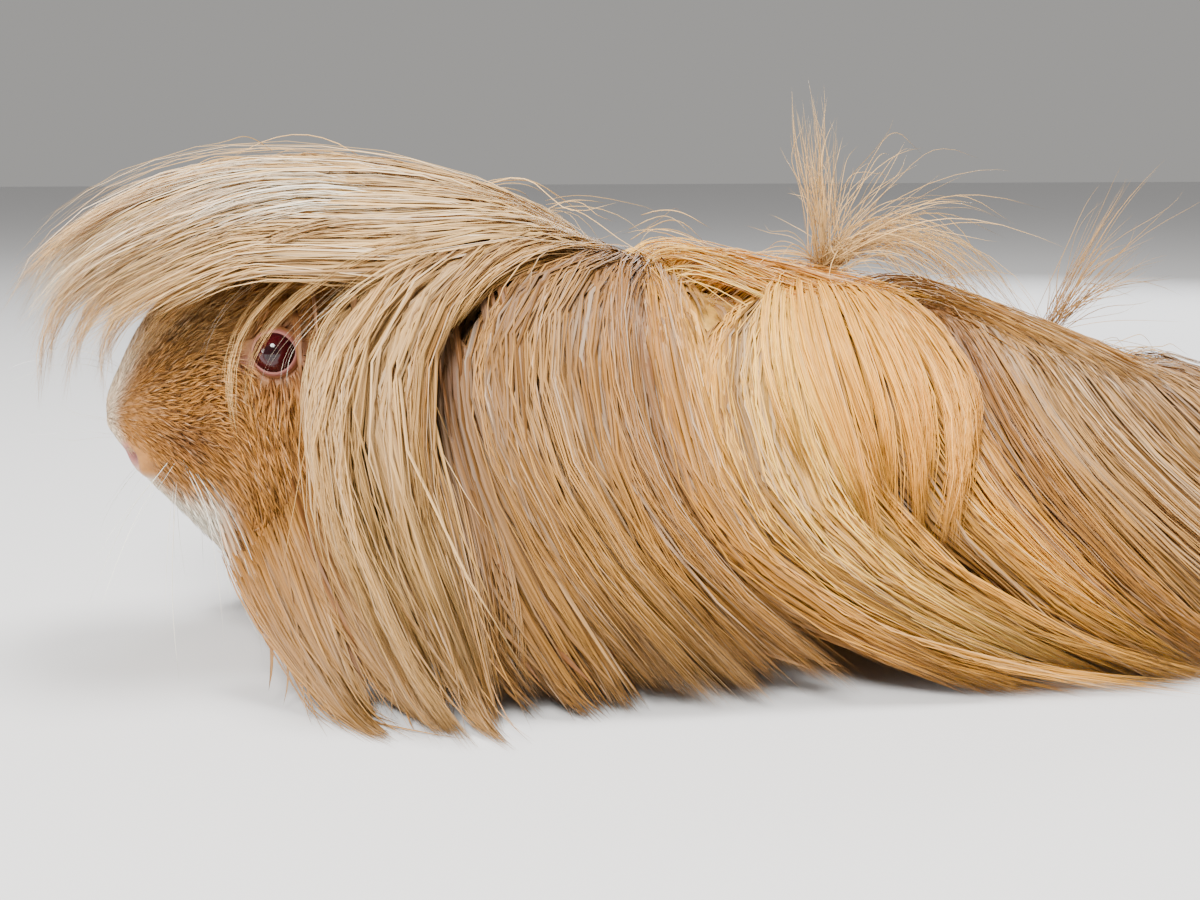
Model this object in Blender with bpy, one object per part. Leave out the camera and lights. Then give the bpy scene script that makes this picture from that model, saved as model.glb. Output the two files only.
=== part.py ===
"""A long-haired guinea pig at life size, standing still with its coat down to the floor.

Lengths are millimetres until a mesh is made. x runs back from the nose, the animal's left side is
at negative y, and the floor is z = 0. Each solid of flesh carries its short fur. The long coat hangs
round it in locks, panels and a train, each a solid of its own out to the tips of the hair.
"""

import math

import bmesh
import bpy
import numpy as np

MM = 0.001
GAP = 0.4  # between pieces that touch
CLEARANCE = 1.0  # between the hanging coat and the flesh behind it
PARTED = 1.2  # between neighbouring panels, whose edges are twisted
SIDES = (("left", -1), ("right", 1))

# Where the body is parted, along x.
NOSE_END = -108.4
HEAD_END = -52.0
NECK_END = -30.0
TRUNK_END = 80.0
DOME_START = 128.0
RUMP_END = 149.0

# The coat's outline: its top line, and its half width where it meets the floor.
PARTING_ANGLE = 30.0  # degrees from upright: the side coat hangs from here
EDGE_ANGLE = 0.9  # degrees between the back's coat and the side coat's top edge
FULLNESS = 1.75  # 2 would make each section of the coat an ellipse
HEM_WIDTH = 11.0
PANEL_SHOULDER = 0.45  # share of a panel's height that lies against the body

EYE = (-73.7, 19.8, 68.0)
EYE_RADIUS = 5.0
LID_STEPS = 12
LID_SIDES = 5
EAR_X = -46.0
EAR_HALF_WIDTH = 11.5
EAR_THICKNESS = 1.4
ROSETTE_X = 54.0
RUMP_TUFT_X = 112.0

CREAM = (0.72, 0.58, 0.38)
BEIGE = (0.52, 0.38, 0.24)
GOLD = (0.68, 0.44, 0.17)
TAN = (0.44, 0.31, 0.19)
GINGER = (0.50, 0.27, 0.11)
SKIN_PINK = (0.58, 0.33, 0.27)
RUBY = (0.16, 0.01, 0.02)


def smooth(*stations):
    """A smooth curve through (x, value) stations, level beyond its ends."""
    places, values = np.array(stations, float).T
    slopes = np.gradient(values, places)

    def at(x):
        x = min(max(x, places[0]), places[-1])
        i = min(max(int(np.searchsorted(places, x)) - 1, 0), len(places) - 2)
        span = places[i + 1] - places[i]
        t = (x - places[i]) / span
        start = (2 * t**3 - 3 * t**2 + 1) * values[i] + (t**3 - 2 * t**2 + t) * span * slopes[i]
        end = (3 * t**2 - 2 * t**3) * values[i + 1] + (t**3 - t**2) * span * slopes[i + 1]
        return float(start + end)

    return at


coat_top = smooth(
    (-67, 108.6), (-56, 109), (-27, 103), (0, 94.5), (24, 89.5), (41, 85.5),
    (56, 84), (73, 82), (90, 76.5), (110, 69.5), (128, 63),
)
coat_half = smooth((-75, 55), (-56, 66), (-38, 73), (0, 73), (30, 76), (60, 78), (110, 76), (128, 73))
flesh_top = smooth(
    (-108.4, 56.6), (-107.4, 59.6), (-105.7, 63.6), (-103.4, 68.4), (-99.5, 74.2), (-92, 79.9),
    (-80, 85.5), (-68, 89), (-52, 91.3), (-30, 91), (0, 85), (40, 76), (80, 72), (105, 65), (128, 54),
)
flesh_low = smooth(
    (-108.4, 51.6), (-106.8, 48.6), (-105, 45.6), (-103.5, 43.1), (-101, 39.8), (-97, 35.4),
    (-92, 29.8), (-85, 22.5), (-78, 18), (-68, 16), (-52, 14.5), (-30, 13), (40, 12), (100, 12.5), (128, 17),
)
flesh_half = smooth(
    (-108.4, 5.5), (-106.5, 9), (-103.5, 12), (-98, 15.3), (-90, 19.3), (-80, 23.3), (-70, 26.5),
    (-60, 29.5), (-52, 31.5), (-40, 35), (-25, 39), (0, 42), (40, 45), (80, 46.5), (105, 45), (128, 37),
)
flesh_square = smooth((-108, 2), (-90, 2.1), (-52, 2.2), (0, 2.3), (128, 2.2))
flesh_pear = smooth((-108, 0.16), (-85, 0.12), (-52, 0.04), (-30, 0))


def coat_point(x, angle, grow=0.0):
    """The coat's outer surface in the section at x, at an angle from upright, in degrees."""
    sine = math.sin(math.radians(angle))
    cosine = max(math.cos(math.radians(angle)), 0.0)
    share = abs(sine) / coat_half(x)
    height = cosine / coat_top(x)
    reach = (share**FULLNESS + height**FULLNESS) ** (-1 / FULLNESS) + grow
    return np.array((x, reach * sine, reach * cosine if cosine > 1e-6 else 0.0))


def flesh_point(x, angle, grow=0.0):
    """The body's own surface in the section at x; 180 degrees is the middle of the belly."""
    middle = (flesh_top(x) + flesh_low(x)) / 2
    tall = (flesh_top(x) - flesh_low(x)) / 2 + grow
    half = flesh_half(x) + grow
    power = 2 / flesh_square(x)
    sine = math.sin(math.radians(angle))
    cosine = math.cos(math.radians(angle))
    y = half * math.copysign(abs(sine) ** power, sine) * (1 - flesh_pear(x) * cosine)
    z = middle + tall * math.copysign(abs(cosine) ** power, cosine)
    return np.array((x, y, z))


def material(name, colour, roughness):
    made = bpy.data.materials.new(name)
    made.use_nodes = True
    shader = made.node_tree.nodes["Principled BSDF"]
    shader.inputs["Base Color"].default_value = (*colour, 1)
    shader.inputs["Roughness"].default_value = roughness
    shader.inputs["Metallic"].default_value = 0
    return made


def add_object(name, mesh, colour, roughness=0.7):
    piece = bpy.data.objects.new(name, mesh)
    bpy.context.scene.collection.objects.link(piece)
    mesh.materials.append(material(name, colour, roughness))
    mesh.shade_smooth()
    mesh.set_sharp_from_angle(angle=math.radians(50))
    return piece


def mesh_from(name, points, faces):
    """A closed mesh, in metres, with its faces pointing out."""
    shape = bmesh.new()
    vertices = [shape.verts.new(np.array(point) * MM) for point in points]
    for face in faces:
        shape.faces.new([vertices[i] for i in face])
    bmesh.ops.remove_doubles(shape, verts=shape.verts, dist=2e-6)
    bmesh.ops.recalc_face_normals(shape, faces=shape.faces)
    mesh = bpy.data.meshes.new(name)
    shape.to_mesh(mesh)
    shape.free()
    return mesh


def lofted(name, rings):
    """A solid through closed rings of equal count, with a flat face at each end."""
    count = len(rings[0])
    points = [point for ring in rings for point in ring]
    faces = []
    for i in range(len(rings) - 1):
        for j in range(count):
            k = (j + 1) % count
            low, high = i * count, (i + 1) * count
            faces.append((low + j, low + k, high + k, high + j))
    faces.append(tuple(range(count)))
    faces.append(tuple(range(len(points) - count, len(points))))
    return mesh_from(name, points, faces)


def slab(name, outer, inner):
    """A solid between two grids of points, closed by walls along its four edges."""
    rows, columns = len(outer), len(outer[0])
    points = [p for row in outer for p in row] + [p for row in inner for p in row]
    behind = rows * columns
    faces = []
    for i in range(rows - 1):
        for j in range(columns - 1):
            a = i * columns + j
            square = (a, a + 1, a + columns + 1, a + columns)
            faces.append(square)
            faces.append(tuple(behind + corner for corner in reversed(square)))
    rim = [j for j in range(columns)]
    rim += [i * columns + columns - 1 for i in range(1, rows)]
    rim += [(rows - 1) * columns + j for j in range(columns - 2, -1, -1)]
    rim += [i * columns for i in range(rows - 2, 0, -1)]
    for a, b in zip(rim, rim[1:] + rim[:1]):
        faces.append((b, a, behind + a, behind + b))
    return mesh_from(name, points, drop_collapsed(points, faces))


def drop_collapsed(points, faces):
    """The faces that keep three corners apart, without the corners that repeat."""
    kept = []
    for face in faces:
        corners = []
        for i in face:
            if all(np.linalg.norm(np.subtract(points[i], points[j])) > 2e-3 for j in corners):
                corners.append(i)
        if len(corners) > 2:
            kept.append(tuple(corners))
    return kept


def cutter(name, mesh):
    """A helper that the build leaves out."""
    piece = bpy.data.objects.new(name, mesh)
    bpy.context.scene.collection.objects.link(piece)
    piece.hide_render = True
    piece.display_type = "WIRE"
    return piece


def boolean(piece, other, operation):
    change = piece.modifiers.new(f"{operation} {other.name}", "BOOLEAN")
    change.operation = operation
    change.object = other


def ellipsoid(name, centre, radii, around=16, rings=10):
    shape = bmesh.new()
    bmesh.ops.create_uvsphere(shape, u_segments=around, v_segments=rings, radius=1)
    for vertex in shape.verts:
        vertex.co = [(c + r * v) * MM for c, r, v in zip(centre, radii, vertex.co)]
    mesh = bpy.data.meshes.new(name)
    shape.to_mesh(mesh)
    shape.free()
    return mesh


def taper(name, route, radii, sides=6):
    """A bent limb, toe or wisp: a round section along a route, closed flat at both ends."""
    route = np.array(route, float)
    along = np.gradient(route, axis=0)
    rings = []
    for place, heading, radius in zip(route, along, radii):
        heading = heading / np.linalg.norm(heading)
        across = np.cross(heading, (0.31, 0.94, 0.13))
        across /= np.linalg.norm(across)
        up = np.cross(heading, across)
        turns = [2 * math.pi * k / sides for k in range(sides)]
        rings.append([place + radius * (math.cos(a) * across + math.sin(a) * up) for a in turns])
    return lofted(name, rings)


def floor_box():
    """Trims whatever it cuts level with the floor."""
    shape = bmesh.new()
    bmesh.ops.create_cube(shape, size=0.6)
    for vertex in shape.verts:
        vertex.co.z -= 0.3
    mesh = bpy.data.meshes.new("floor_cutter")
    shape.to_mesh(mesh)
    shape.free()
    return cutter("floor_cutter", mesh)


# The flesh, with its short fur.

def flesh_ring(x, around=28, grow=0.0, shrink=1.0):
    middle = np.array((x, 0, (flesh_top(x) + flesh_low(x)) / 2))
    ring = [flesh_point(x, 360 * k / around, grow) for k in range(around)]
    return [middle + shrink * (point - middle) for point in ring]


def covered_ring(x, side_steps=5, belly_steps=8, top_steps=8):
    """A section of the body with the back's coat on it, down to where the side coat starts."""
    back = [coat_point(x, PARTING_ANGLE * (2 * k / top_steps - 1)) for k in range(top_steps + 1)]
    start = 2 * PARTING_ANGLE
    wall = [flesh_point(x, start + (90 - start) * k / side_steps) for k in range(side_steps)]
    belly = [flesh_point(x, 90 + 180 * k / belly_steps) for k in range(belly_steps + 1)]
    far = [point * (1, -1, 1) for point in reversed(wall)]
    return back + wall + belly + far


def head():
    """The face, jaw and skull, with eye sockets, lids, nostrils and the cleft of the mouth."""
    places = (NOSE_END, -107.6, -106, -103.5, -100.5, -97, -92.5, -86.5, -80, -73.5, -67, -60, HEAD_END)
    piece = add_object("head", lofted("head", [flesh_ring(x, 20) for x in places]), GINGER, 0.75)
    for side, sign in SIDES:
        centre = (EYE[0], sign * EYE[1], EYE[2])
        lids = cutter(f"lids_{side}", lid_ring(centre, sign))
        boolean(piece, lids, "UNION")
        hollow = [EYE_RADIUS + GAP] * 3
        socket = cutter(f"socket_{side}", ellipsoid(f"socket_{side}", centre, hollow, 14, 9))
        boolean(piece, socket, "DIFFERENCE")
        nostril = ellipsoid(f"nostril_{side}", (-103.6, sign * 7.0, 45.0), (2.4, 1.3, 1.6), 8, 6)
        boolean(piece, cutter(f"nostril_{side}", nostril), "DIFFERENCE")
    mouth = ellipsoid("mouth", (-99.4, 0, 37.6), (6.5, 7.5, 0.8), 12, 6)
    boolean(piece, cutter("mouth", mouth), "DIFFERENCE")


def lid_ring(centre, sign):
    """A rim round the eye, facing out and a little forward and up."""
    facing = np.array((-0.25, sign, 0.12))
    facing /= np.linalg.norm(facing)
    across = np.cross(facing, (0, 0, 1))
    across /= np.linalg.norm(across)
    up = np.cross(across, facing)
    rings = []
    for k in range(LID_STEPS):
        turn = 2 * math.pi * k / LID_STEPS
        out = math.cos(turn) * across * 5.1 + math.sin(turn) * up * 4.7
        middle = np.array(centre) + 2.4 * facing + out
        spoke = out / np.linalg.norm(out)
        bend = [2 * math.pi * j / LID_SIDES for j in range(LID_SIDES)]
        rings.append([middle + 1.3 * (math.cos(b) * spoke + math.sin(b) * facing) for b in bend])
    points = [point for ring in rings for point in ring]
    faces = []
    for i in range(LID_STEPS):
        for j in range(LID_SIDES):
            a, b = i * LID_SIDES, (i + 1) % LID_STEPS * LID_SIDES
            k = (j + 1) % LID_SIDES
            faces.append((a + j, a + k, b + k, b + j))
    return mesh_from("lids", points, faces)


def neck():
    places = np.linspace(HEAD_END + GAP, NECK_END - GAP, 4)
    add_object("neck", lofted("neck", [flesh_ring(x, 24) for x in places]), BEIGE)


def trunk():
    places = np.linspace(NECK_END, TRUNK_END - GAP, 11)
    add_object("trunk", lofted("trunk", [covered_ring(x) for x in places]), BEIGE)


def rump():
    """The haunches under the back's coat, and the round end of the body under the train."""
    places = np.linspace(TRUNK_END, DOME_START - GAP, 6)
    whole = lofted("rump", [covered_ring(x) for x in places])
    piece = add_object("rump", whole, TAN)
    end = RUMP_END - DOME_START
    rings = []
    for x in (DOME_START - 12, DOME_START, DOME_START + 8, DOME_START + 14, DOME_START + 19, RUMP_END):
        past = max(x - DOME_START, 0) / end
        shrink = math.sqrt(max(1 - past**2, 0.03))
        ring = flesh_ring(min(x, DOME_START), 20, -0.5, shrink)
        rings.append([point + (max(x - DOME_START, 0), 0, 0) for point in ring])
    boolean(piece, cutter("rump_end", lofted("rump_end", rings)), "UNION")


def eyes():
    for side, sign in SIDES:
        centre = (EYE[0], sign * EYE[1], EYE[2])
        ball = ellipsoid(f"eye_{side}", centre, [EYE_RADIUS] * 3, 14, 9)
        add_object(f"eye_{side}", ball, RUBY, 0.08)


def ears():
    """Drooping petals that lie between the neck and the hanging hair."""
    for side, sign in SIDES:
        outer, inner = [], []
        for down in np.linspace(0, 1, 6):
            angle = 66 + 34 * down
            half = EAR_HALF_WIDTH * math.sin(math.pi * (0.16 + 0.78 * down)) ** 0.6
            lift = 0.5 + 2.6 * down + 0.9 * math.sin(math.pi * down)
            rows = [EAR_X + half * across + 3 * down for across in np.linspace(-1, 1, 5)]
            curl = [1.4 * across**2 for across in np.linspace(-1, 1, 5)]
            inner.append([flesh_point(x, angle, lift + c) * (1, sign, 1) for x, c in zip(rows, curl)])
            outer.append([flesh_point(x, angle, lift + c + EAR_THICKNESS) * (1, sign, 1)
                          for x, c in zip(rows, curl)])
        add_object(f"ear_{side}", slab(f"ear_{side}", outer, inner), SKIN_PINK, 0.6)


def leg(name, sign, ankle, heel, toes, width, splay):
    """A short leg from the belly to the floor, with its toes and claws."""
    ankle = np.array(ankle) * (1, sign, 1)
    heel = np.array(heel) * (1, sign, 1)
    ball = np.array((toes[0], sign * toes[1], 2.8))
    shin = taper(name, (ankle, (ankle + heel) / 2 + (0, 0, 3), heel + (0, 0, 2)),
                 (width * 0.95, width * 0.8, width * 0.62), 8)
    piece = add_object(name, shin, SKIN_PINK, 0.65)
    sole = taper("sole", (heel, (heel + ball) / 2, ball), (width * 0.6, width * 0.66, width * 0.6), 8)
    boolean(piece, cutter(f"{name}_sole", sole), "UNION")
    for k, turn in enumerate(splay):
        heading = np.array((-math.cos(math.radians(turn)), sign * math.sin(math.radians(turn)), 0))
        root = ball - heading * 3 + (0, 0, -0.2)
        tip = ball + heading * 11.5 + (0, 0, -1.4)
        claw = ball + heading * 16 + (0, 0, -2.1)
        route = (root, (root + tip) / 2 + (0, 0, 0.9), tip, claw)
        toe = taper("toe", route, (2.0, 1.9, 1.6, 0.45), 5)
        boolean(piece, cutter(f"{name}_toe_{k}", toe), "UNION")
    return piece


def legs():
    floor = floor_box()
    belly = cutter("belly_cutter", lofted("belly_cutter", [
        flesh_ring(x, 28, GAP) for x in np.linspace(-70, 127.9, 16)
    ]))
    for side, sign in SIDES:
        front = leg(f"leg_front_{side}", sign, (-46.3, 21, 27.3), (-45, 21.5, 5.2), (-52, 22), 7.0,
                    (-22, -7, 8, 24))
        hind = leg(f"leg_hind_{side}", sign, (104, 29, 30), (110, 30, 5), (88, 33), 8.0, (-12, 4, 20))
        for piece in (front, hind):
            boolean(piece, belly, "DIFFERENCE")
            boolean(piece, floor, "DIFFERENCE")


# The hanging coat.

def panel_inner(x, share, room=0.0):
    """Behind the side coat: against the body at first, then straight down to the hem."""
    start = 2 * (PARTING_ANGLE + EDGE_ANGLE)
    if share <= PANEL_SHOULDER:
        return flesh_point(x, start + (90 - start) * share / PANEL_SHOULDER, CLEARANCE + room)
    widest = flesh_point(x, 90, CLEARANCE + room)
    hem = np.array((x, coat_half(x) - HEM_WIDTH, 0))
    down = (share - PANEL_SHOULDER) / (1 - PANEL_SHOULDER)
    return widest + (hem - widest) * down


def ridges(across, count, height):
    """Shallow locks side by side: how far the surface stands out at a place across a panel."""
    return height * math.cos(2 * math.pi * count * across)


def side_panel(name, sign, front, back, locks, colour, reach, columns, rows, room=None):
    """One hanging piece of side coat. front and back give its edges' x at a share of the way down,
    and reach gives how far the lock tips stand out along the hem."""
    outer, inner = [], []
    for share in np.linspace(0, 1, rows):
        start, end = front(share), back(share)
        line, behind = [], []
        for across in np.linspace(0, 1, columns):
            x = start + (end - start) * across
            angle = PARTING_ANGLE + EDGE_ANGLE + (90 - PARTING_ANGLE - EDGE_ANGLE) * share
            out = ridges(across, locks, 0.9) * math.sin(math.pi * min(share + 0.1, 1))
            out += reach(across) * share**4
            line.append(coat_point(x, angle, out) * (1, sign, 1))
            space = room(x, share) if room else 0.0
            behind.append(panel_inner(x, share, space) * (1, sign, 1))
        outer.append(line)
        inner.append(behind)
    return add_object(name, slab(name, outer, inner), colour)


def ear_room(x, share):
    """The space that the hanging hair leaves for the ear."""
    near = math.exp(-((x - EAR_X - 1) / 17) ** 4)
    return 6.5 * near * math.exp(-((share - 0.3) / 0.25) ** 4)


def cheek_front(share):
    return -62 - 6.5 * math.sin(math.pi * min(share * 0.95 + 0.08, 1)) + 6 * share**3


def cheek_back(share):
    """The slot behind the cheek lock is widest over the ear."""
    return -44.2 + 9 * share - 4.2 * math.exp(-((share - 0.3) / 0.16) ** 2) - 2.5 * share**4


def shoulder_front(share):
    return -43.4 + 9 * share + 1.2 * math.exp(-((share - 0.3) / 0.16) ** 2)


def shoulder_back(share):
    return -8 + 41 * share**2


def flank_back(share):
    return 28 + 65 * share**2.4


def after(edge):
    """The next panel's front edge, a little behind this one."""
    return lambda share: edge(share) + PARTED


def peak(place, width, height):
    return lambda across: height * math.exp(-((across - place) / width) ** 2)


def scallops(count, height):
    return lambda across: height * abs(math.sin(math.pi * count * across))


def side_coat():
    for side, sign in SIDES:
        side_panel(f"lock_cheek_{side}", sign, cheek_front, cheek_back, 2, CREAM,
                   peak(0.72, 0.3, 12), 7, 8, ear_room)
        side_panel(f"coat_shoulder_{side}", sign, shoulder_front, shoulder_back, 4, BEIGE,
                   scallops(3, 4), 11, 6, ear_room)
        side_panel(f"coat_flank_{side}", sign, after(shoulder_back), flank_back, 4, BEIGE,
                   peak(0.05, 0.12, 9), 11, 6)
        side_panel(f"coat_haunch_{side}", sign, after(flank_back), lambda share: DOME_START - GAP, 4,
                   GOLD, scallops(2, 4), 11, 6)


def train_edges(turn):
    """How far the train reaches at a turn from straight back: at the floor, and inside it."""
    side, back = math.sin(math.radians(turn)), math.cos(math.radians(turn))
    hem = coat_half(DOME_START) + 2 * back + 8 * back * abs(math.sin(math.radians(4.5 * turn + 90)))
    body = math.hypot((RUMP_END - DOME_START) * back, flesh_half(DOME_START) * side) + CLEARANCE + 1
    return hem, body


def train_part(name, turns):
    """A sector of the hair behind the rump, from the middle of the back out and down to the floor."""
    top, half = coat_top(DOME_START), coat_half(DOME_START)
    middle = (flesh_top(DOME_START) + flesh_low(DOME_START)) / 2
    tall = (flesh_top(DOME_START) - flesh_low(DOME_START)) / 2 + CLEARANCE
    outer, inner = [], []
    for turn in turns:
        aim = np.array((math.cos(math.radians(turn)), math.sin(math.radians(turn)), 0))
        hem, body = train_edges(turn)
        line, behind = [], []
        for share in np.linspace(0, 1, 8):
            angle = math.radians(90 * share)
            spread = (half + (hem - half) * share**3) * math.sin(angle) ** (2 / FULLNESS)
            line.append(spread * aim + (0, 0, top * max(math.cos(angle), 0) ** (2 / FULLNESS)))
            if share <= 0.5:
                near = body * math.sin(2 * angle) ** 0.9
                behind.append(near * aim + (0, 0, middle + tall * max(math.cos(2 * angle), 0) ** 0.9))
            else:
                reach = body + (hem - 16 - body) * (2 * share - 1)
                behind.append(reach * aim + (0, 0, middle * (2 - 2 * share)))
        outer.append(line)
        inner.append(behind)
    start = np.array((DOME_START, 0, 0)) + PARTED * np.array((1, 0, 0))
    if abs(turns[0] + turns[-1]) > 1:
        start = start + (0, math.copysign(PARTED, turns[0] + turns[-1]), 0)
    grids = [[[point + start for point in line] for line in grid] for grid in (outer, inner)]
    add_object(name, slab(name, *grids), TAN)


def train():
    train_part("train_left", np.linspace(-90, -30, 7))
    train_part("train_middle", np.linspace(-30, 30, 7))
    train_part("train_right", np.linspace(30, 90, 7))


# The forelock's run from the crown, s = 0, to its tips, s = 1: its top line, its underside,
# the angle that it spans to each side and the half width of the outline that it follows.
lock_top_x = smooth((0, NECK_END - GAP), (0.16, -50), (0.32, -68), (0.5, -88), (0.66, -107),
                    (0.78, -119), (0.88, -125.5), (1, -127))
lock_top_z = smooth((0, 103.8), (0.16, 108.2), (0.32, 108.6), (0.5, 107), (0.66, 100),
                    (0.78, 90.5), (0.88, 80), (1, 67))
lock_under_x = smooth((0, NECK_END - GAP), (0.16, -50), (0.32, -68), (0.5, -84), (0.66, -98),
                      (0.78, -106.5), (0.88, -110.5), (1, -115))
lock_under_z = smooth((0, 92), (0.16, 92.5), (0.32, 90.5), (0.5, 86.5), (0.66, 82.5),
                      (0.78, 76.5), (0.88, 70), (1, 63.5))
lock_angle = smooth((0, 30), (0.1, 30), (0.2, 29.8), (0.3, 28), (0.42, 22), (0.7, 18), (1, 12))
lock_half = smooth((0, 73.5), (0.25, 63), (0.42, 60), (0.7, 56), (1, 50))
CROWN_HEIGHT = 108.6


def crown_arc(s, wide, angle):
    """y and z on the arc across the forelock, before its middle comes down to the top line."""
    angle = math.radians(angle)
    share = (abs(math.sin(angle)) / wide) ** FULLNESS
    height = (math.cos(angle) / CROWN_HEIGHT) ** FULLNESS
    reach = (share + height) ** (-1 / FULLNESS)
    return reach * math.sin(angle), reach * math.cos(angle) - CROWN_HEIGHT + lock_top_z(s)


def forelock_points(s, across, taper_share):
    """The forelock's outer and inner points at s along it and at a place across it, from -1 to 1."""
    on_body = min(max((0.36 - s) / 0.1, 0), 1)
    x = lock_top_x(s)
    wide = coat_half(x) * on_body + lock_half(s) * (1 - on_body)
    free = np.array((x, *crown_arc(s, wide, lock_angle(s) * across)))
    outer = coat_point(x, lock_angle(s) * across) * on_body + free * (1 - on_body)
    rim_y, rim_z = crown_arc(s, wide, lock_angle(s))
    under_x, under_z = lock_under_x(s), lock_under_z(s)
    hollow = under_z + (rim_z - 2.5 - under_z) * abs(across) ** 1.9
    loose = np.array((under_x, (rim_y - 2) * across, hollow))
    loose = outer + (loose - outer) * (1 - taper_share)
    held = flesh_point(under_x, 2 * PARTING_ANGLE * across, CLEARANCE)
    return outer, held * on_body + loose * (1 - on_body)


def forelock_part(name, start, end, steps, columns):
    """Part of the forelock between two shares of its length, which ends in seven points."""
    outer, inner = [], []
    for across in np.linspace(-1, 1, columns):
        length = 0.93 + 0.07 * math.cos(3.5 * math.pi * across) - 0.06 * across**2
        line, behind = [], []
        for step in np.linspace(start, end, steps):
            top, under = forelock_points(step * length, across, 0.9 * max(step - 0.75, 0) / 0.25)
            line.append(top)
            behind.append(under)
        outer.append(line)
        inner.append(behind)
    add_object(name, slab(name, outer, inner), CREAM)


def forelock():
    """The hair of the crown, swept forward over the head, and its fringe hanging past the nose."""
    forelock_part("forelock", 0, 0.6, 7, 15)
    forelock_part("fringe", 0.612, 1, 6, 15)


def mop_locks():
    """The pointed lock that hangs from the rosette over each flank."""
    for side, sign in SIDES:
        outer, inner = [], []
        for share in np.linspace(0, 1, 8):
            angle = 8 + 60 * share
            middle = ROSETTE_X + 2 - 4 * share + 9 * share**2
            half = 17 * (1 - share**2.6) + 0.8
            line, behind = [], []
            for across in np.linspace(-1, 1, 7):
                x = middle + half * across
                thick = 1.2 + 5.5 * (1 - across**2) * math.sin(math.pi * (0.12 + 0.8 * share))
                behind.append(coat_point(x, angle, 1.6) * (1, sign, 1))
                line.append(coat_point(x, angle, 1.6 + thick) * (1, sign, 1))
            outer.append(line)
            inner.append(behind)
        add_object(f"lock_flank_{side}", slab(f"lock_flank_{side}", outer, inner), GOLD)


def tuft(name, x, wisps, colour):
    """Loose hair standing up from a whorl: a low pad with a few tapering wisps joined to it."""
    outer, inner = [], []
    for across in np.linspace(-1, 1, 5):
        half = 5.0 * math.sqrt(1.05 - across**2)
        places = [x + half * k for k in np.linspace(-1, 1, 5)]
        inner.append([coat_point(p, 4.2 * across, 0.5) for p in places])
        outer.append([coat_point(p, 4.2 * across, 2.4) for p in places])
    piece = add_object(name, slab(name, outer, inner), colour)
    root = coat_point(x, 0, 1.5)
    for k, (aim, height, lean) in enumerate(wisps):
        bend = []
        for s in np.linspace(0, 1, 7):
            rise = height * math.sin(s * math.pi / 2)
            bend.append(root + (aim * s**2, lean * s**1.5, rise - 0.35 * abs(aim) * s**4))
        strand = taper("wisp", bend, np.linspace(1.7, 0.4, 7), 4)
        boolean(piece, cutter(f"{name}_wisp_{k}", strand), "UNION")


def tufts():
    tuft("tuft_back", ROSETTE_X, ((-15, 42, 3), (2, 34, -6), (22, 26, 5), (38, 20, -4)), CREAM)
    tuft("tuft_rump", RUMP_TUFT_X, ((12, 26, 4), (26, 37, -3), (36, 24, 3)), TAN)


def centre_on_floor():
    """Moves every piece so that the origin is under the middle of the whole animal."""
    bpy.context.view_layer.update()
    graph = bpy.context.evaluated_depsgraph_get()
    corners = []
    for piece in bpy.context.scene.collection.objects:
        if not piece.hide_render:
            mesh = piece.evaluated_get(graph).to_mesh()
            corners += [tuple(vertex.co) for vertex in mesh.vertices]
    low, high = np.min(corners, axis=0), np.max(corners, axis=0)
    shift = (low + high) / 2
    shift[2] = low[2]
    for piece in bpy.context.scene.collection.objects:
        piece.location = -shift


def main():
    for old in list(bpy.data.objects):
        bpy.data.objects.remove(old)
    head()
    neck()
    trunk()
    rump()
    eyes()
    ears()
    legs()
    forelock()
    side_coat()
    train()
    mop_locks()
    tufts()
    centre_on_floor()


main()
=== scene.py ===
"""The looks of the long-haired guinea pig: one skin, two eyes, claws, and a coat of mesh hair.

Lengths are millimetres in the animal's own frame until a mesh is made: x runs back from the nose,
the animal's left side is at negative y, the floor is z = 0. Each hair is a closed strand of three
sides that tapers to a point. Hairs share paths on the coat's own surface, so that locks lie along
the body and come together at their tips.
"""
import math

import bmesh
import bpy
import numpy as np
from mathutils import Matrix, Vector


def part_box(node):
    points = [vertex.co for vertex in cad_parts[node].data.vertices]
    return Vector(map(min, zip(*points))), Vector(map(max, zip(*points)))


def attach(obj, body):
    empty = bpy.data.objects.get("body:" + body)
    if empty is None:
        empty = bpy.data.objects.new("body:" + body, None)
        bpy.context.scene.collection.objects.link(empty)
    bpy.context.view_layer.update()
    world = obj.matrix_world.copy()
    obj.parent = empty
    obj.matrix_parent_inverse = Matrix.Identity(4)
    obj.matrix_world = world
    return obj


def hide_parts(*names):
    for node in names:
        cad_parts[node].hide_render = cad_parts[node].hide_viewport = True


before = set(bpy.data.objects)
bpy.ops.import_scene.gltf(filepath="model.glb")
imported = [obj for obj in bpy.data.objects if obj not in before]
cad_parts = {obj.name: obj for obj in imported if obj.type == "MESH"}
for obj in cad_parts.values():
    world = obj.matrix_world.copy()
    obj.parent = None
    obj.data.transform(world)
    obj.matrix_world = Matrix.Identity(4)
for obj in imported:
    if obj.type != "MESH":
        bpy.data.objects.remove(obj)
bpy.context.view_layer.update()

MM = 0.001
SIDES = (("left", -1), ("right", 1))
EYE = np.array((-73.7, -19.8, 68.0))  # the left one
EYE_RADIUS = 5.0
NOSTRIL_PLACE = (-103.4, 7.8, 45.2)  # the right one
NOSE_END = -108.4
NECK_END = -30.0
DOME_START = 128.0  # behind this the body and coat turn in round the rump
RUMP_END = 149.0
DOME_RADIUS = 60.0
RUMP_TURN = 1.6  # radians from there to the middle of the rump, and a little past it
FULLNESS = 1.75  # how square the coat's section is; 2 would be an ellipse
HEM_WIDTH = 11.0  # how thick the coat is at the floor
COAT_FRONT = -55.0  # hair rooted before this takes its colour from here, not from the face
SLOPE_LENGTH = 130.0  # from the parting down to the hem, along the coat
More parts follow.
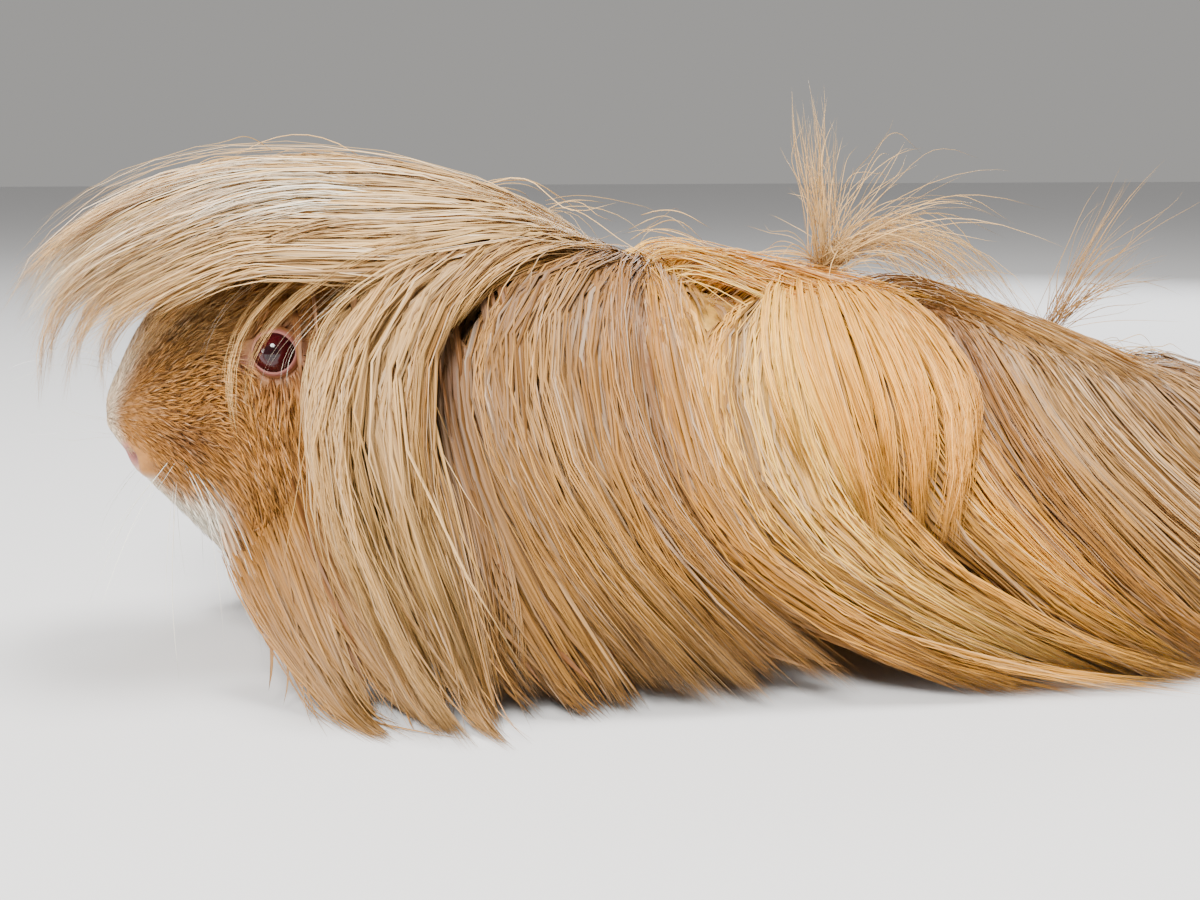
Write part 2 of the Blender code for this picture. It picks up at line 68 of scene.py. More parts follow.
FORELOCK_LENGTH = 150.0  # from the crown to the tips, along the forelock
BACK_LENGTH = 120.0  # and of as long a share behind the crown, along the back
CROWN_HEIGHT = 108.6
FINE = (0.22, 0.42)  # the widths of single tufts, in mm
BROAD = (0.45, 1.0)  # and of the deep ones behind them
PATCH = 0.003  # a tuft's share of the unwrapped coat, along each side
RIDGE = 0.6  # how far a tuft's ridge rises, as a share of half its width
RIDGE_HEIGHT = 0.16  # the most it rises, in mm
BEND_COST = 55.0  # a turn of one radian earns a strand as many points as this length, in mm
DENSE = 25  # points of a hair's path before it is thinned
EASING = 8  # rounds of smoothing
STREAKS = 5.0  # single hairs drawn on a tuft, to the millimetre
STREAK_LENGTH = 0.03  # how fast they change down its length
STREAK_STEP = 3.7  # sets one tuft's streaks apart from the next one's
CLEARANCE = 0.5  # the least height of a hair's line above the floor
SHARE = np.linspace(0, 1, DENSE)[None]  # how far down its length each point of a hair lies

eye_low, eye_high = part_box("eye_left")
OFFSET = (np.array(eye_low) + np.array(eye_high)) / 2 / MM - EYE


def rgb(red, green, blue):
    """A colour given as the eye sees it, 0 to 255, as linear light."""
    share = np.array((red, green, blue)) / 255
    return np.where(share > 0.04045, ((share + 0.055) / 1.055) ** 2.4, share / 12.92)


WHITE = rgb(255, 246, 228)
CREAM = rgb(214, 174, 114)
BEIGE = rgb(166, 124, 76)
TAUPE = rgb(168, 126, 76)
BROWN = rgb(112, 70, 38)
GOLD = rgb(236, 168, 64)
PALE_GOLD = rgb(255, 198, 100)
AMBER = rgb(232, 142, 52)
TAN = rgb(154, 108, 60)
RUSSET = rgb(160, 100, 46)
GINGER = rgb(173, 115, 45)
RUST = rgb(146, 88, 36)
NOSE_PINK = rgb(158, 96, 86)
LID_PINK = rgb(142, 84, 74)
# the nostril's dark pink skin, darker still as painted shade in its hollow
NOSTRIL = rgb(92, 44, 46)
PINK = rgb(214, 160, 144)
PUPIL = rgb(30, 5, 9)
IRIS = rgb(58, 10, 15)
IRIS_EDGE = rgb(40, 10, 14)
EYE_WHITE = rgb(150, 92, 92)
HORN = rgb(190, 160, 130)


def smooth(*stations):
    """A smooth curve through (x, value) stations, level beyond its ends, for arrays of x."""
    places, values = np.array(stations, float).T
    slopes = np.gradient(values, places)

    def at(x):
        x = np.clip(x, places[0], places[-1])
        i = np.clip(np.searchsorted(places, x) - 1, 0, len(places) - 2)
        span = places[i + 1] - places[i]
        t = (x - places[i]) / span
        start = (2 * t**3 - 3 * t**2 + 1) * values[i] + (t**3 - 2 * t**2 + t) * span * slopes[i]
        end = (3 * t**2 - 2 * t**3) * values[i + 1] + (t**3 - t**2) * span * slopes[i + 1]
        return start + end

    return at


# The outline that the solids follow.
coat_top = smooth(
    (-67, 108.6), (-56, 109), (-27, 103), (0, 94.5), (24, 89.5), (41, 85.5),
    (56, 84), (73, 82), (90, 76.5), (110, 69.5), (128, 63),
)
coat_half = smooth((-75, 55), (-56, 66), (-38, 73), (0, 73), (30, 76), (60, 78), (110, 76), (128, 73))
flesh_top = smooth(
    (-108.4, 56.6), (-107.4, 59.6), (-105.7, 63.6), (-103.4, 68.4), (-99.5, 74.2), (-92, 79.9),
    (-80, 85.5), (-68, 89), (-52, 91.3), (-30, 91), (0, 85), (40, 76), (80, 72), (105, 65), (128, 54),
)
flesh_low = smooth(
    (-108.4, 51.6), (-106.8, 48.6), (-105, 45.6), (-103.5, 43.1), (-101, 39.8), (-97, 35.4),
    (-92, 29.8), (-85, 22.5), (-78, 18), (-68, 16), (-52, 14.5), (-30, 13), (40, 12), (100, 12.5), (128, 17),
)
flesh_half = smooth(
    (-108.4, 5.5), (-106.5, 9), (-103.5, 12), (-98, 15.3), (-90, 19.3), (-80, 23.3), (-70, 26.5),
    (-60, 29.5), (-52, 31.5), (-40, 35), (-25, 39), (0, 42), (40, 45), (80, 46.5), (105, 45), (128, 37),
)
flesh_square = smooth((-108, 2), (-90, 2.1), (-52, 2.2), (0, 2.3), (128, 2.2))
flesh_pear = smooth((-108, 0.16), (-85, 0.12), (-52, 0.04), (-30, 0))


def signed_power(value, power):
    return np.copysign(np.abs(value) ** power, value)


def stacked(x, y, z):
    return np.stack(np.broadcast_arrays(x, y, z), axis=-1)


def flesh_point(x, angle, grow=0.0):
    """The body's surface in the section at x, at an angle in degrees from upright."""
    middle = (flesh_top(x) + flesh_low(x)) / 2
    tall = (flesh_top(x) - flesh_low(x)) / 2 + grow
    half = flesh_half(x) + grow
    power = 2 / flesh_square(x)
    sine, cosine = np.sin(np.radians(angle)), np.cos(np.radians(angle))
    y = half * signed_power(sine, power) * (1 - flesh_pear(x) * cosine)
    return stacked(x, y, middle + tall * signed_power(cosine, power))


def turned(q, flat):
    """Points of the section at q. Past the dome's start, q is a turn round the rump's middle."""
    turn = np.maximum(q - DOME_START, 0) / DOME_RADIUS
    y = flat[..., 1]
    x = np.where(q > DOME_START, DOME_START + np.abs(y) * np.sin(turn), q)
    return stacked(x, y * np.cos(turn), flat[..., 2])


def coat_outer(q, slope):
    """The coat's outer surface; slope runs from 0 at the parting to 1 at the floor, and past it."""
    angle = np.radians(np.clip(slope, -1, 1) * 90)
    x = np.minimum(q, DOME_START)
    turn = np.clip((q - DOME_START) / DOME_RADIUS, 0, RUMP_TURN)
    half = coat_half(x) + 4 * np.sin(turn) - 0.8 * np.maximum(-75 - x, 0)
    share = np.abs(np.sin(angle)) / half
    height = np.maximum(np.cos(angle), 1e-6) / coat_top(x)
    reach = (share**FULLNESS + height**FULLNESS) ** (-1 / FULLNESS)
    reach = reach + np.maximum(slope - 1, 0) * SLOPE_LENGTH
    flat = stacked(x, reach * np.sin(angle), reach * np.cos(angle))
    return turned(q, flat)


def coat_inner(q, slope):
    """Behind the coat: the body's side down to its widest, then straight down inside the hem."""
    x = np.minimum(q, DOME_START)
    turn = np.clip((q - DOME_START) / DOME_RADIUS, 0, RUMP_TURN)
    body = np.hypot((RUMP_END - DOME_START) * np.sin(turn), flesh_half(x) * np.cos(turn))
    narrow = np.where(q > DOME_START, body / flesh_half(x), 1)
    upper = flesh_point(x, np.clip(slope, -0.5, 0.5) * 180)
    down = np.clip((slope - 0.5) / 0.5, 0, 1)
    hem = coat_half(x) - HEM_WIDTH + np.maximum(slope - 1, 0) * SLOPE_LENGTH
    y = upper[..., 1] * narrow * (1 - down) + hem * down
    z = upper[..., 2] * (1 - down)
    return turned(q, stacked(x, y, z))


# Meshes.

def to_row(points):
    return (np.asarray(points, float) + OFFSET) * MM


def add_object(name, data):
    made = bpy.data.objects.new(name, data)
    bpy.context.scene.collection.objects.link(made)
    return made


def add_piece(name, mesh, nodes=()):
    piece = add_object(name, mesh)
    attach(piece, "root")
    if nodes:
        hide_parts(*nodes)


def fill_mesh(name, points, quads, triangles):
    """A mesh from numpy arrays, quickly."""
    mesh = bpy.data.meshes.new(name)
    corners = np.concatenate([quads.ravel(), triangles.ravel()]).astype(np.int32)
    sizes = np.concatenate([np.full(len(quads), 4), np.full(len(triangles), 3)])
    mesh.vertices.add(len(points))
    mesh.vertices.foreach_set("co", to_row(points).astype(np.float32).ravel())
    mesh.loops.add(len(corners))
    mesh.loops.foreach_set("vertex_index", corners)
    mesh.polygons.add(len(sizes))
    starts = np.concatenate([[0], np.cumsum(sizes)[:-1]]).astype(np.int32)
    mesh.polygons.foreach_set("loop_start", starts)
    mesh.update(calc_edges=True)
    return mesh


def closed_mesh(name, points, quads, triangles):
    """A closed mesh with all its faces turned outward."""
    mesh = fill_mesh(name, points, quads, triangles)
    shape = bmesh.new()
    shape.from_mesh(mesh)
    bmesh.ops.recalc_face_normals(shape, faces=shape.faces)
    shape.to_mesh(mesh)
    shape.free()
    return mesh


def ring_quads(rows, columns, whole=False):
    """Quads from each ring of points to the next, and from the last to the first if whole."""
    row = np.arange(rows if whole else rows - 1)[:, None]
    k = np.arange(columns)
    ahead = (k + 1) % columns
    here, after = row * columns, (row + 1) % rows * columns
    return np.stack([here + k, after + k, after + ahead, here + ahead], axis=-1).reshape(-1, 4)


def closed_rings(name, rings, bulge=0):
    """A closed mesh through rings of equal length. A fan closes each end, its middle moved by bulge."""
    rings = np.array(rings, float)
    rows, columns = rings.shape[:2]
    points = np.concatenate([rings.reshape(-1, 3), rings[[0, -1]].mean(axis=1) + bulge])
    k = np.arange(columns)
    ahead = (k + 1) % columns
    start, base = rows * columns, (rows - 1) * columns
    first = np.stack([np.full(columns, start), k, ahead], axis=-1)
    last = np.stack([np.full(columns, start + 1), base + ahead, base + k], axis=-1)
    return closed_mesh(name, points, ring_quads(rows, columns), np.concatenate([first, last]))


def paint(mesh, colours):
    layer = mesh.attributes.new("coat_colour", "FLOAT_COLOR", "POINT")
    data = np.ones((len(mesh.vertices), 4), np.float32)
    data[:, :3] = colours
    layer.data.foreach_set("color", data.ravel())


def map_corners(mesh, name, places):
    """A UV map whose corners take their place from their vertex."""
    layer = mesh.uv_layers.new(name=name)
    corners = np.empty(len(mesh.loops), np.int32)
    mesh.loops.foreach_get("vertex_index", corners)
    layer.data.foreach_set("uv", places[corners].astype(np.float32).ravel())


def unit(vectors):
    return vectors / np.maximum(np.linalg.norm(vectors, axis=-1, keepdims=True), 1e-9)


def evenly(path, out, steps, rng):
    """The same lines through fewer points, set closer where a line turns, with its kinks eased."""
    path = path.copy()
    for _ in range(EASING):
        path[:, 1:-1] = 0.5 * path[:, 1:-1] + 0.25 * (path[:, 2:] + path[:, :-2])
    leg = np.diff(path, axis=1)
    length = np.linalg.norm(leg, axis=-1)
    way = leg / np.maximum(length, 1e-9)[..., None]
    turn = np.arccos(np.clip(np.sum(way[:, 1:] * way[:, :-1], axis=-1), -1, 1)) * BEND_COST / 2
    length[:, 1:] += turn
    length[:, :-1] += turn
    gone = np.concatenate([np.zeros((len(path), 1)), np.cumsum(length, axis=1)], axis=1)
    wanted = np.linspace(0, 1, steps) + np.zeros((len(path), 1))
    wanted[:, 1:-1] += rng.uniform(-0.3, 0.3, (len(path), 1)) / steps
    wanted = wanted * gone[:, -1:]
    both = np.concatenate([path, np.broadcast_to(out, path.shape)], axis=-1)
    made = np.stack([np.stack([np.interp(want, far, column) for column in line.T], axis=-1)
                     for want, far, line in zip(wanted, gone, both)])
    return made[..., :3], made[..., 3:]


def strand_piece(name, hair, material, nodes=()):
    """Joins strands into one piece. hair holds, for each strand: path (points down its length),
    out (which way is up off the body), width, root colour, tip colour and root (its place on the
    unwrapped skin, 0 to 1)."""
    path, width = hair["path"], hair["width"]
    count, steps = path.shape[:2]
    along = unit(np.gradient(path, axis=1))
    out = unit(hair["out"] - along * np.sum(hair["out"] * along, axis=-1, keepdims=True))
    across = np.cross(along, out)
    spin = hair["spin"][:, None, None]
    across = across * np.cos(spin) + out * np.sin(spin)
    out = np.cross(across, along)
    gone = np.cumsum(np.linalg.norm(np.diff(path, axis=1), axis=-1), axis=1)
    length = gone[:, -1]
    share = np.concatenate([np.zeros((count, 1)), gone / length[:, None]], axis=1)
    body = np.minimum(1, 0.55 + 2.5 * share) * np.maximum(1 - share**2.5, 0) ** 0.8
    half = width[:, None, None] * 0.5 * np.maximum(body, 0.02)[..., None]
    ridge = np.minimum(half * RIDGE, RIDGE_HEIGHT)
    rings = np.stack([path - across * half, path + out * ridge, path + across * half], axis=2)
    rings = rings[:, :-1].reshape(count, -1, 3)
    points = np.concatenate([rings, path[:, -1:]], axis=1)
    size = points.shape[1]
    k = np.arange(3)
    ring = 3 * np.arange(steps - 2)[:, None]
    quad = np.stack([ring + k, ring + (k + 1) % 3, ring + 3 + (k + 1) % 3, ring + 3 + k], axis=-1)
    last = 3 * (steps - 2)
    tip = np.stack([last + k, last + (k + 1) % 3, np.full(3, size - 1)], axis=-1)
    triangle = np.concatenate([tip, [[2, 1, 0]]])
    starts = (size * np.arange(count))[:, None, None]
    quads = (quad.reshape(1, -1, 4) + starts).reshape(-1, 4)
    triangles = (triangle[None] + starts).reshape(-1, 3)
    mesh = fill_mesh(name, points.reshape(-1, 3), quads, triangles)
    mesh.shade_smooth()
    ends = np.empty(len(mesh.edges) * 2, np.int32)
    mesh.edges.foreach_get("vertices", ends)
    rail = (ends.reshape(-1, 2) % size) % 3
    crisp = (rail[:, 0] == rail[:, 1]) & (rail[:, 0] != 1)
    mesh.attributes.new("sharp_edge", "BOOLEAN", "EDGE").data.foreach_set("value", crisp)
    down = np.concatenate([np.repeat(share[:, :-1], 3, axis=1), np.ones((count, 1))], axis=1)
    side = np.concatenate([np.tile([0, 0.5, 1], steps - 1), [0.5]])
    shade = hair["root_colour"][:, None] * (1 - down[..., None]) + (
        hair["tip_colour"][:, None] * down[..., None])
    paint(mesh, shade.reshape(-1, 3))
    patch = np.stack(np.broadcast_arrays(side * PATCH, down * PATCH), axis=-1)
    places = hair["root"][:, None, :] * (1 - 2 * PATCH) + patch[None]
    map_corners(mesh, "OFBake", places.reshape(-1, 2))
    streak = np.stack([
        side[None] * width[:, None] * STREAKS + np.arange(count)[:, None] * STREAK_STEP,
        down * length[:, None] * STREAK_LENGTH,
    ], axis=-1)
    map_corners(mesh, "Streak", streak.reshape(-1, 2))
    mesh.materials.append(material)
    add_piece(name, mesh, nodes)


# Markings, with painted shade and painted light, the same for skin and coat.

def mixed(colour, other, share):
    share = np.expand_dims(np.clip(share, 0, 1), -1)
    return colour * (1 - share) + other * share


def bump(value, middle, width):
    return np.exp(-(((value - middle) / width) ** 2))


def step_up(value, start, end):
    t = np.clip((value - start) / (end - start), 0, 1)
    return t * t * (3 - 2 * t)


# The tan at -41, between the ruff and the shoulder, and at 0, in the valley between the locks, is painted
# shade.
COAT_BANDS = (
    (-60, CREAM), (-46, CREAM), (-41, TAN), (-36, BEIGE), (-22, BEIGE), (-12, TAN), (0, TAN),
    (7, GOLD), (16, PALE_GOLD), (28, PALE_GOLD), (38, GOLD), (62, GOLD), (72, TAN), (84, TAUPE),
    (100, BEIGE), (122, TAUPE), (150, BEIGE),
)


def marking_and_painted_light(points):
    """The coat's colour, from where on the body it lies, with painted shade in the valleys between the
    locks, low down and on the muzzle, and painted light on the forelock's top and under it.
    """
    x, y, z = points[..., 0], np.abs(points[..., 1]), points[..., 2]
    wave = 2.5 * np.sin(x * 0.31 + z * 0.13) + 1.5 * np.sin(x * 0.83 - z * 0.21 + 1.0)
    places = np.array([place for place, _ in COAT_BANDS])
    shades = np.array([shade for _, shade in COAT_BANDS])
    coat = np.stack([np.interp(x + wave, places, shades[:, k]) for k in range(3)], axis=-1)
    coat = mixed(coat, GOLD, 0.6 * step_up(x, 76, 96) * (1 - step_up(z, 14, 38)))
    coat = mixed(coat, CREAM * 0.85, 0.5 * step_up(x, 76, 96) * step_up(z, 38, 58))
    # Browner near the floor at x -12 and 20: painted shade low on the hem.
    coat = mixed(coat, BROWN, (0.75 * bump(x, -12, 20) + 0.5 * bump(x, 20, 9)) * (1 - step_up(z, 8, 36)))
    # Rust low down at x -2 and 73: painted shade in the valleys between the great locks.
    coat = mixed(coat, RUSSET, (bump(x, -2, 7) + bump(x, 73, 8)) * (1 - step_up(z, 46, 66)))
    # Beige low on the front, before x -44: painted shade under the head and ruff.
    coat = mixed(coat, BEIGE, 0.6 * (1 - step_up(z, 30, 56)) * (1 - step_up(x, -44, -34)))
    coat = mixed(coat, coat * (0.93, 0.92, 0.76), step_up(x, -50, -30) * (1 - step_up(x, 78, 92)))
    # Darker at x -6 and 74: painted shade in the valleys between the great locks.
    coat = mixed(coat, coat * (0.78, 0.74, 0.7), bump(x, -6, 9) + 0.8 * bump(x, 74, 7))
    # Darker low before x -54: painted shade under the chin and ruff.
    coat = mixed(coat, coat * 0.72, (1 - step_up(z, 30, 56)) * step_up(-x, 54, 68))
    coat = mixed(coat, CREAM, 0.6 * bump(x, 97, 15) * (1 - step_up(z, 14, 40)))
    crown = CREAM * (0.82 + 0.18 * step_up(-x, 50, 66))[..., None]
    coat = mixed(coat, crown, step_up(z, 84, 91) * step_up(-x, -6, 20))
    # Nearly white on the forelock's top: partly its own pale colour, partly painted light from above.
    coat = mixed(coat, WHITE, 0.97 * step_up(z, 88, 99) * step_up(-x, 46, 64))
    face = np.broadcast_to(GINGER, points.shape).copy()
    # Rust and brown behind the whisker pad: painted shade of the crease there.
    face = mixed(face, RUST, 0.75 * bump(x, -94, 5) * bump(z, 50, 4) * step_up(y, 6, 12))
    face = mixed(face, BROWN, 0.7 * bump(x, -96, 2.5) * bump(z, 51.5, 1.8) * step_up(y, 6, 12))
    face = mixed(face, BROWN, 0.6 * bump(x, -99, 2) * bump(z, 44, 1.2) * step_up(y, 5, 9))
    # Lighter cream over the brow: painted light under the forelock, against its shadow.
    face = mixed(face, CREAM, 0.65 * bump(x, -92, 12) * bump(z, 74, 8))
    # Darker at the front of the muzzle: painted shade under the forelock's hanging tips.
    face = face * (1 - 0.2 * bump(x, -102, 6) * bump(z, 60, 10))[..., None]
    blaze = step_up(-x, 80, 90) * (1 - step_up(y, 5.0, 10 + 0.06 * (z - 40)))
    chin = step_up(-x, 82, 90) * (1 - step_up(z, 37, 43))
    face = mixed(face, mixed(CREAM, WHITE, 0.6), blaze * (1 - step_up(z, 66, 76)))
    face = mixed(face, WHITE, chin)
    face = mixed(face, TAN, 0.25 * bump(x, -108.8, 0.5))
    return mixed(face, coat, step_up(x + wave * 0.6, -67, -56) + step_up(z, 86, 92))


# Materials.

def set_inputs(node, **values):
    """Sets inputs of a shader node, named with underscores for spaces."""
    for name, value in values.items():
        node.inputs[name.replace("_", " ")].default_value = value


def add_node(nodes, kind, **values):
    node = nodes.new(f"ShaderNode{kind}")
    set_inputs(node, **values)
    return node


def new_material(name):
    """A material whose base colour is the painted one: itself, its nodes, links, shader and colour."""
    made = bpy.data.materials.new(name)
    made.use_nodes = True
    nodes, links = made.node_tree.nodes, made.node_tree.links
    colour = add_node(nodes, "Attribute")
    colour.attribute_name = "coat_colour"
    links.new(colour.outputs["Color"], nodes["Principled BSDF"].inputs["Base Color"])
    return made, nodes, links, nodes["Principled BSDF"], colour


def grained_material(name, noise, shades, relief):
    """A painted material with a noise in it that lightens, darkens and raises the surface."""
    made, nodes, links, shader, colour = new_material(name)
    light = add_node(nodes, "MapRange", **shades)
    tint = add_node(nodes, "VectorMath")
    tint.operation = "SCALE"
    grain = add_node(nodes, "TexNoise", **noise)
    raised = add_node(nodes, "Bump", **relief)
    links.new(grain.outputs["Fac"], light.inputs["Value"])
    links.new(colour.outputs["Color"], tint.inputs[0])
    links.new(light.outputs["Result"], tint.inputs["Scale"])
    links.new(tint.outputs["Vector"], shader.inputs["Base Color"])
    links.new(grain.outputs["Fac"], raised.inputs["Height"])
    links.new(raised.outputs["Normal"], shader.inputs["Normal"])
    return made, nodes, links, shader, grain


def hair_material(name, roughness):
    """Hair: its own painted colour, with fine lengthwise streaks in colour, gloss and relief."""
    made, nodes, links, shader, grain = grained_material(
        name, {"Scale": 1.0, "Detail": 2},
        {"From_Min": 0.34, "From_Max": 0.66, "To_Min": 0.58, "To_Max": 1.22},
        {"Strength": 0.6, "Distance": 0.00015})
    place = add_node(nodes, "UVMap")
    place.uv_map = "Streak"
    gloss = add_node(nodes, "MapRange", To_Min=roughness - 0.08, To_Max=roughness + 0.12)
    links.new(place.outputs["UV"], grain.inputs["Vector"])
    links.new(grain.outputs["Fac"], gloss.inputs["Value"])
    links.new(gloss.outputs["Result"], shader.inputs["Roughness"])
    set_inputs(shader, Specular_IOR_Level=0.25)
    return made


def skin_material():
    """Skin under the hair: painted colour, pores and down in relief."""
    made, nodes, links, shader, grain = grained_material(
        "skin", {"Scale": 900, "Detail": 4}, {"To_Min": 0.75, "To_Max": 1.2},
        {"Strength": 0.5, "Distance": 0.0003})
    links.new(add_node(nodes, "TexCoord").outputs["Object"], grain.inputs["Vector"])
    set_inputs(shader, Roughness=0.6, Subsurface_Weight=0.1, Subsurface_Radius=(0.002, 0.001, 0.0006))
    return made


def eye_material():
    made, _, _, shader, _ = new_material("eye")
    set_inputs(shader, Roughness=0.1, Specular_IOR_Level=0.3, Coat_Weight=0.5, Coat_Roughness=0.02, IOR=1.4)
    return made


def plain_material(name, colour, roughness):
    made = bpy.data.materials.new(name)
    made.use_nodes = True
    set_inputs(made.node_tree.nodes["Principled BSDF"], Base_Color=(*colour, 1), Roughness=roughness)
    return made


# The hair's shared behaviour.

def gathered(labels, spacing, rng):
    """Sorts hairs by their labels into locks about a spacing wide. Gives the label in the middle of
    each hair's lock, and a function that draws one value for each lock and gives it to its hairs."""
    low, high = labels.min(), labels.max()
    count = max(int((high - low) / spacing), 1)
    middles = low + (np.arange(count) + 0.5 + rng.uniform(-0.35, 0.35, count)) * (high - low) / count
    lock = np.searchsorted((middles[1:] + middles[:-1]) / 2, labels)
    return middles[lock], lambda spread: rng.normal(0, spread, count)[lock]


def laid(outer, inner, depth, side, lean=(0, 0, 0)):
    """Lines at a depth between two surfaces, and which way is out there, on the given side."""
    path = inner + (outer - inner) * depth[..., None]
    path[..., 2] = np.maximum(path[..., 2], CLEARANCE)
    return path * (1, side, 1), unit(outer - inner + lean) * (1, side, 1)


def on_coat(place, slope, depth, side):
    return laid(coat_outer(place, slope), coat_inner(place, slope), depth, side)


def bundle(path, out, rng, width, spots, colours, steps=None, spin=0.3):
    """Strands ready to be joined into a piece, thinned to so many points each if steps says so."""
    if steps:
        path, out = evenly(path, out, steps, rng)
    count = len(path)
    return {
        "path": path, "out": out, "width": rng.uniform(*width, count), "root": spots,
        "root_colour": colours[0], "tip_colour": colours[1], "spin": rng.normal(0, spin, count),
    }


def hair_colours(places, rng, tone, tip_gold, pale=0.3, dark=0.35):
    """Root and tip colours: the marking where the hair lies, a little lighter or darker by lock and
    by hair, darker where callers pass painted shade in tone; dark browns the root as painted shade."""
    count, tone = len(places), np.ravel(tone)
    base = mixed(marking_and_painted_light(places), BROWN, np.maximum(-tone - 0.08, 0) * 2.5)
    light = np.clip(1 + tone + rng.normal(0, 0.06, count), 0.5, 1.4)[:, None]
    base = mixed(base, BROWN, 0.5 * rng.random(count) ** 4)
    base = mixed(base, WHITE, pale * rng.random(count) ** 5)
    # dark browns the root: painted shade deep in the coat.
    root = mixed(base, BROWN, np.ravel(dark)) * light
    tip = mixed(base, GOLD, np.ravel(tip_gold)) * np.minimum(light * 1.05, 1.25)
    return np.minimum(root, 0.9), np.minimum(tip, 0.92)


# How the side coat lies. Each hair keeps to a line named by m, its place half way down. Above that
# the lines come from two whorls on the back; below it they sweep towards the rear.
FRONT_WHORL = smooth((-94, 30), (-80, 92), (-67, 82), (-47, 66), (-37, 58), (-11, 23), (5, 6), (13, -4))
BACK_WHORL = smooth((8, 52), (15, 46), (25, 30), (38, 14), (50, 2), (60, -8), (75, -20))
RUMP_LIE = smooth((66, 0), (93, -5), (120, -12), (150, -16), (200, -20))
hem_sweep = smooth((-94, 26), (-75, 21), (-62, 18), (-52, 13), (-45, 11), (-37, 28), (-11, 42), (15, 72),
                   (45, 62), (75, 45), (93, 58), (120, 45), (150, 25), (200, 8))
hem_power = smooth((-67, 1.6), (-37, 1.6), (-11, 2.1), (15, 3.4), (45, 2.4), (75, 1.7), (93, 1.3),
                   (140, 1.2))


def flow(m, slope, whorl):
    """Where along the body the line m lies, at a slope."""
    above = np.maximum(1 - np.maximum(slope, 0) / 0.45, 0) ** 2
    below = np.maximum((slope - 0.45) / 0.55, 0) ** hem_power(m)
    return m + whorl(m) * above + hem_sweep(m) * below


def side_hair(side, reach, count, seed, whorl, steps=8, slopes=(0.03, 0.32), end=0.99, fine=(0.22, 0.44),
              layers=(0.72, 1.0), under=0.5, tip_gold=0.3, spread=0.035, loose=0.05, rise=(3, 8),
              shade=0.0, ginger=0.0, lower=0.0, spacing=11, gather=0.55):
    """Hair of one side, rooted between two slopes on the lines between the two of reach."""
    rng = np.random.default_rng(seed)
    each = (count, 1)
    m = rng.uniform(*reach, each)
    early = rng.random(each) ** 1.3
    start = slopes[0] + (slopes[1] - slopes[0]) * early + lower * (1 - step_up(m, -96, -62))
    big_m, big = gathered(m, spacing, rng)
    small_m, small = gathered(m + rng.normal(0, 0.4, each), 2.2, rng)
    stop = end + big(spread) + small(spread * 0.7)
    stop = np.maximum(stop - np.abs(rng.normal(0, 0.03, each)), start + 0.08)
    slope = start + (stop - start) * SHARE**1.35
    progress = np.clip((slope - start) / 0.95, 0, 1)
    line = m + (small_m - m) * rng.uniform(0.3, 0.9, each) * SHARE**1.2
    line = line + (big_m - small_m) * gather * SHARE**2
    drift = big(4.0) + small(1.4) + rng.normal(0, 1.0, each)
    wave = rng.uniform(0.2, 0.9, each) * np.sin(SHARE * rng.uniform(3, 7, each) + rng.uniform(0, 6.3, each))
    stray = rng.normal(0, 3.5, each) * np.maximum(1 - slope / 0.3, 0)
    place = flow(line, slope, whorl) + drift * progress**2 + wave * SHARE + stray
    arc = (slope - start) * SLOPE_LENGTH
    lift = rng.uniform(*layers, each) - under * early + small(0.05) + big(0.05)
    crown = 1 - 0.3 * np.clip(np.abs(m - big_m) / 6, 0, 1) ** 2
    depth = np.maximum(lift, 0.1) * crown * (1 - np.exp(-arc / rng.uniform(*rise, each)))
    free = rng.random(each) < loose
    depth = depth + free * rng.uniform(0.05, 0.25, each) * SHARE
    place = place + free * rng.normal(0, 6, each) * SHARE**2
    path, out = on_coat(place, slope, np.clip(depth, 0.0, 1.25), side)
    # shade darkens deep and gap layers: painted shade under the top hair.
    tone = big(0.07) + small(0.1) + shade
    lies = np.maximum(path[:, DENSE // 2], (COAT_FRONT, -np.inf, 0))
    roots, tips = hair_colours(lies, rng, tone, tip_gold)
    # Tips that end low at the front are darker: painted shade under the head and chest.
    ends = path[:, -1]
    low_front = (1 - step_up(ends[:, 2], 34, 60)) * (1 - step_up(ends[:, 0], -44, -26))
    tips = tips * (1 - np.outer(low_front, (0.4, 0.42, 0.46)))
    spots = np.clip(np.hstack([(m - reach[0]) / (reach[1] - reach[0]), start]), 0, 0.99)
    return bundle(path, out, rng, fine, spots, (mixed(roots, GINGER * 0.72, ginger), tips), steps)


def spine_hair(side, reach, count, seed):
    """Hair that lies back along the spine between the whorls and parts to either side."""
    rng = np.random.default_rng(seed)
    each = (count, 1)
    first = rng.uniform(*reach, each)
    aside = rng.uniform(-0.02, 0.16, each)
    small_a, small = gathered(aside, 0.03, rng)
    length = rng.uniform(22, 42, each)
    slope = aside + (small_a - aside) * 0.6 + rng.uniform(0.04, 0.22, each) * SHARE**1.6
    depth = rng.uniform(0.75, 1.05, each) * (1 - np.exp(-length * SHARE / 5)) - 0.1 * SHARE
    path, out = on_coat(first + length * SHARE, slope, depth, side)
    colours = hair_colours(path[:, DENSE // 2], rng, small(0.08), 0.3, dark=0.12)
    spots = np.hstack([(first - reach[0]) / (reach[1] - reach[0] + 1), aside + 0.05])
    return bundle(path, out, rng, (0.3, 0.9), spots, colours, steps=8)


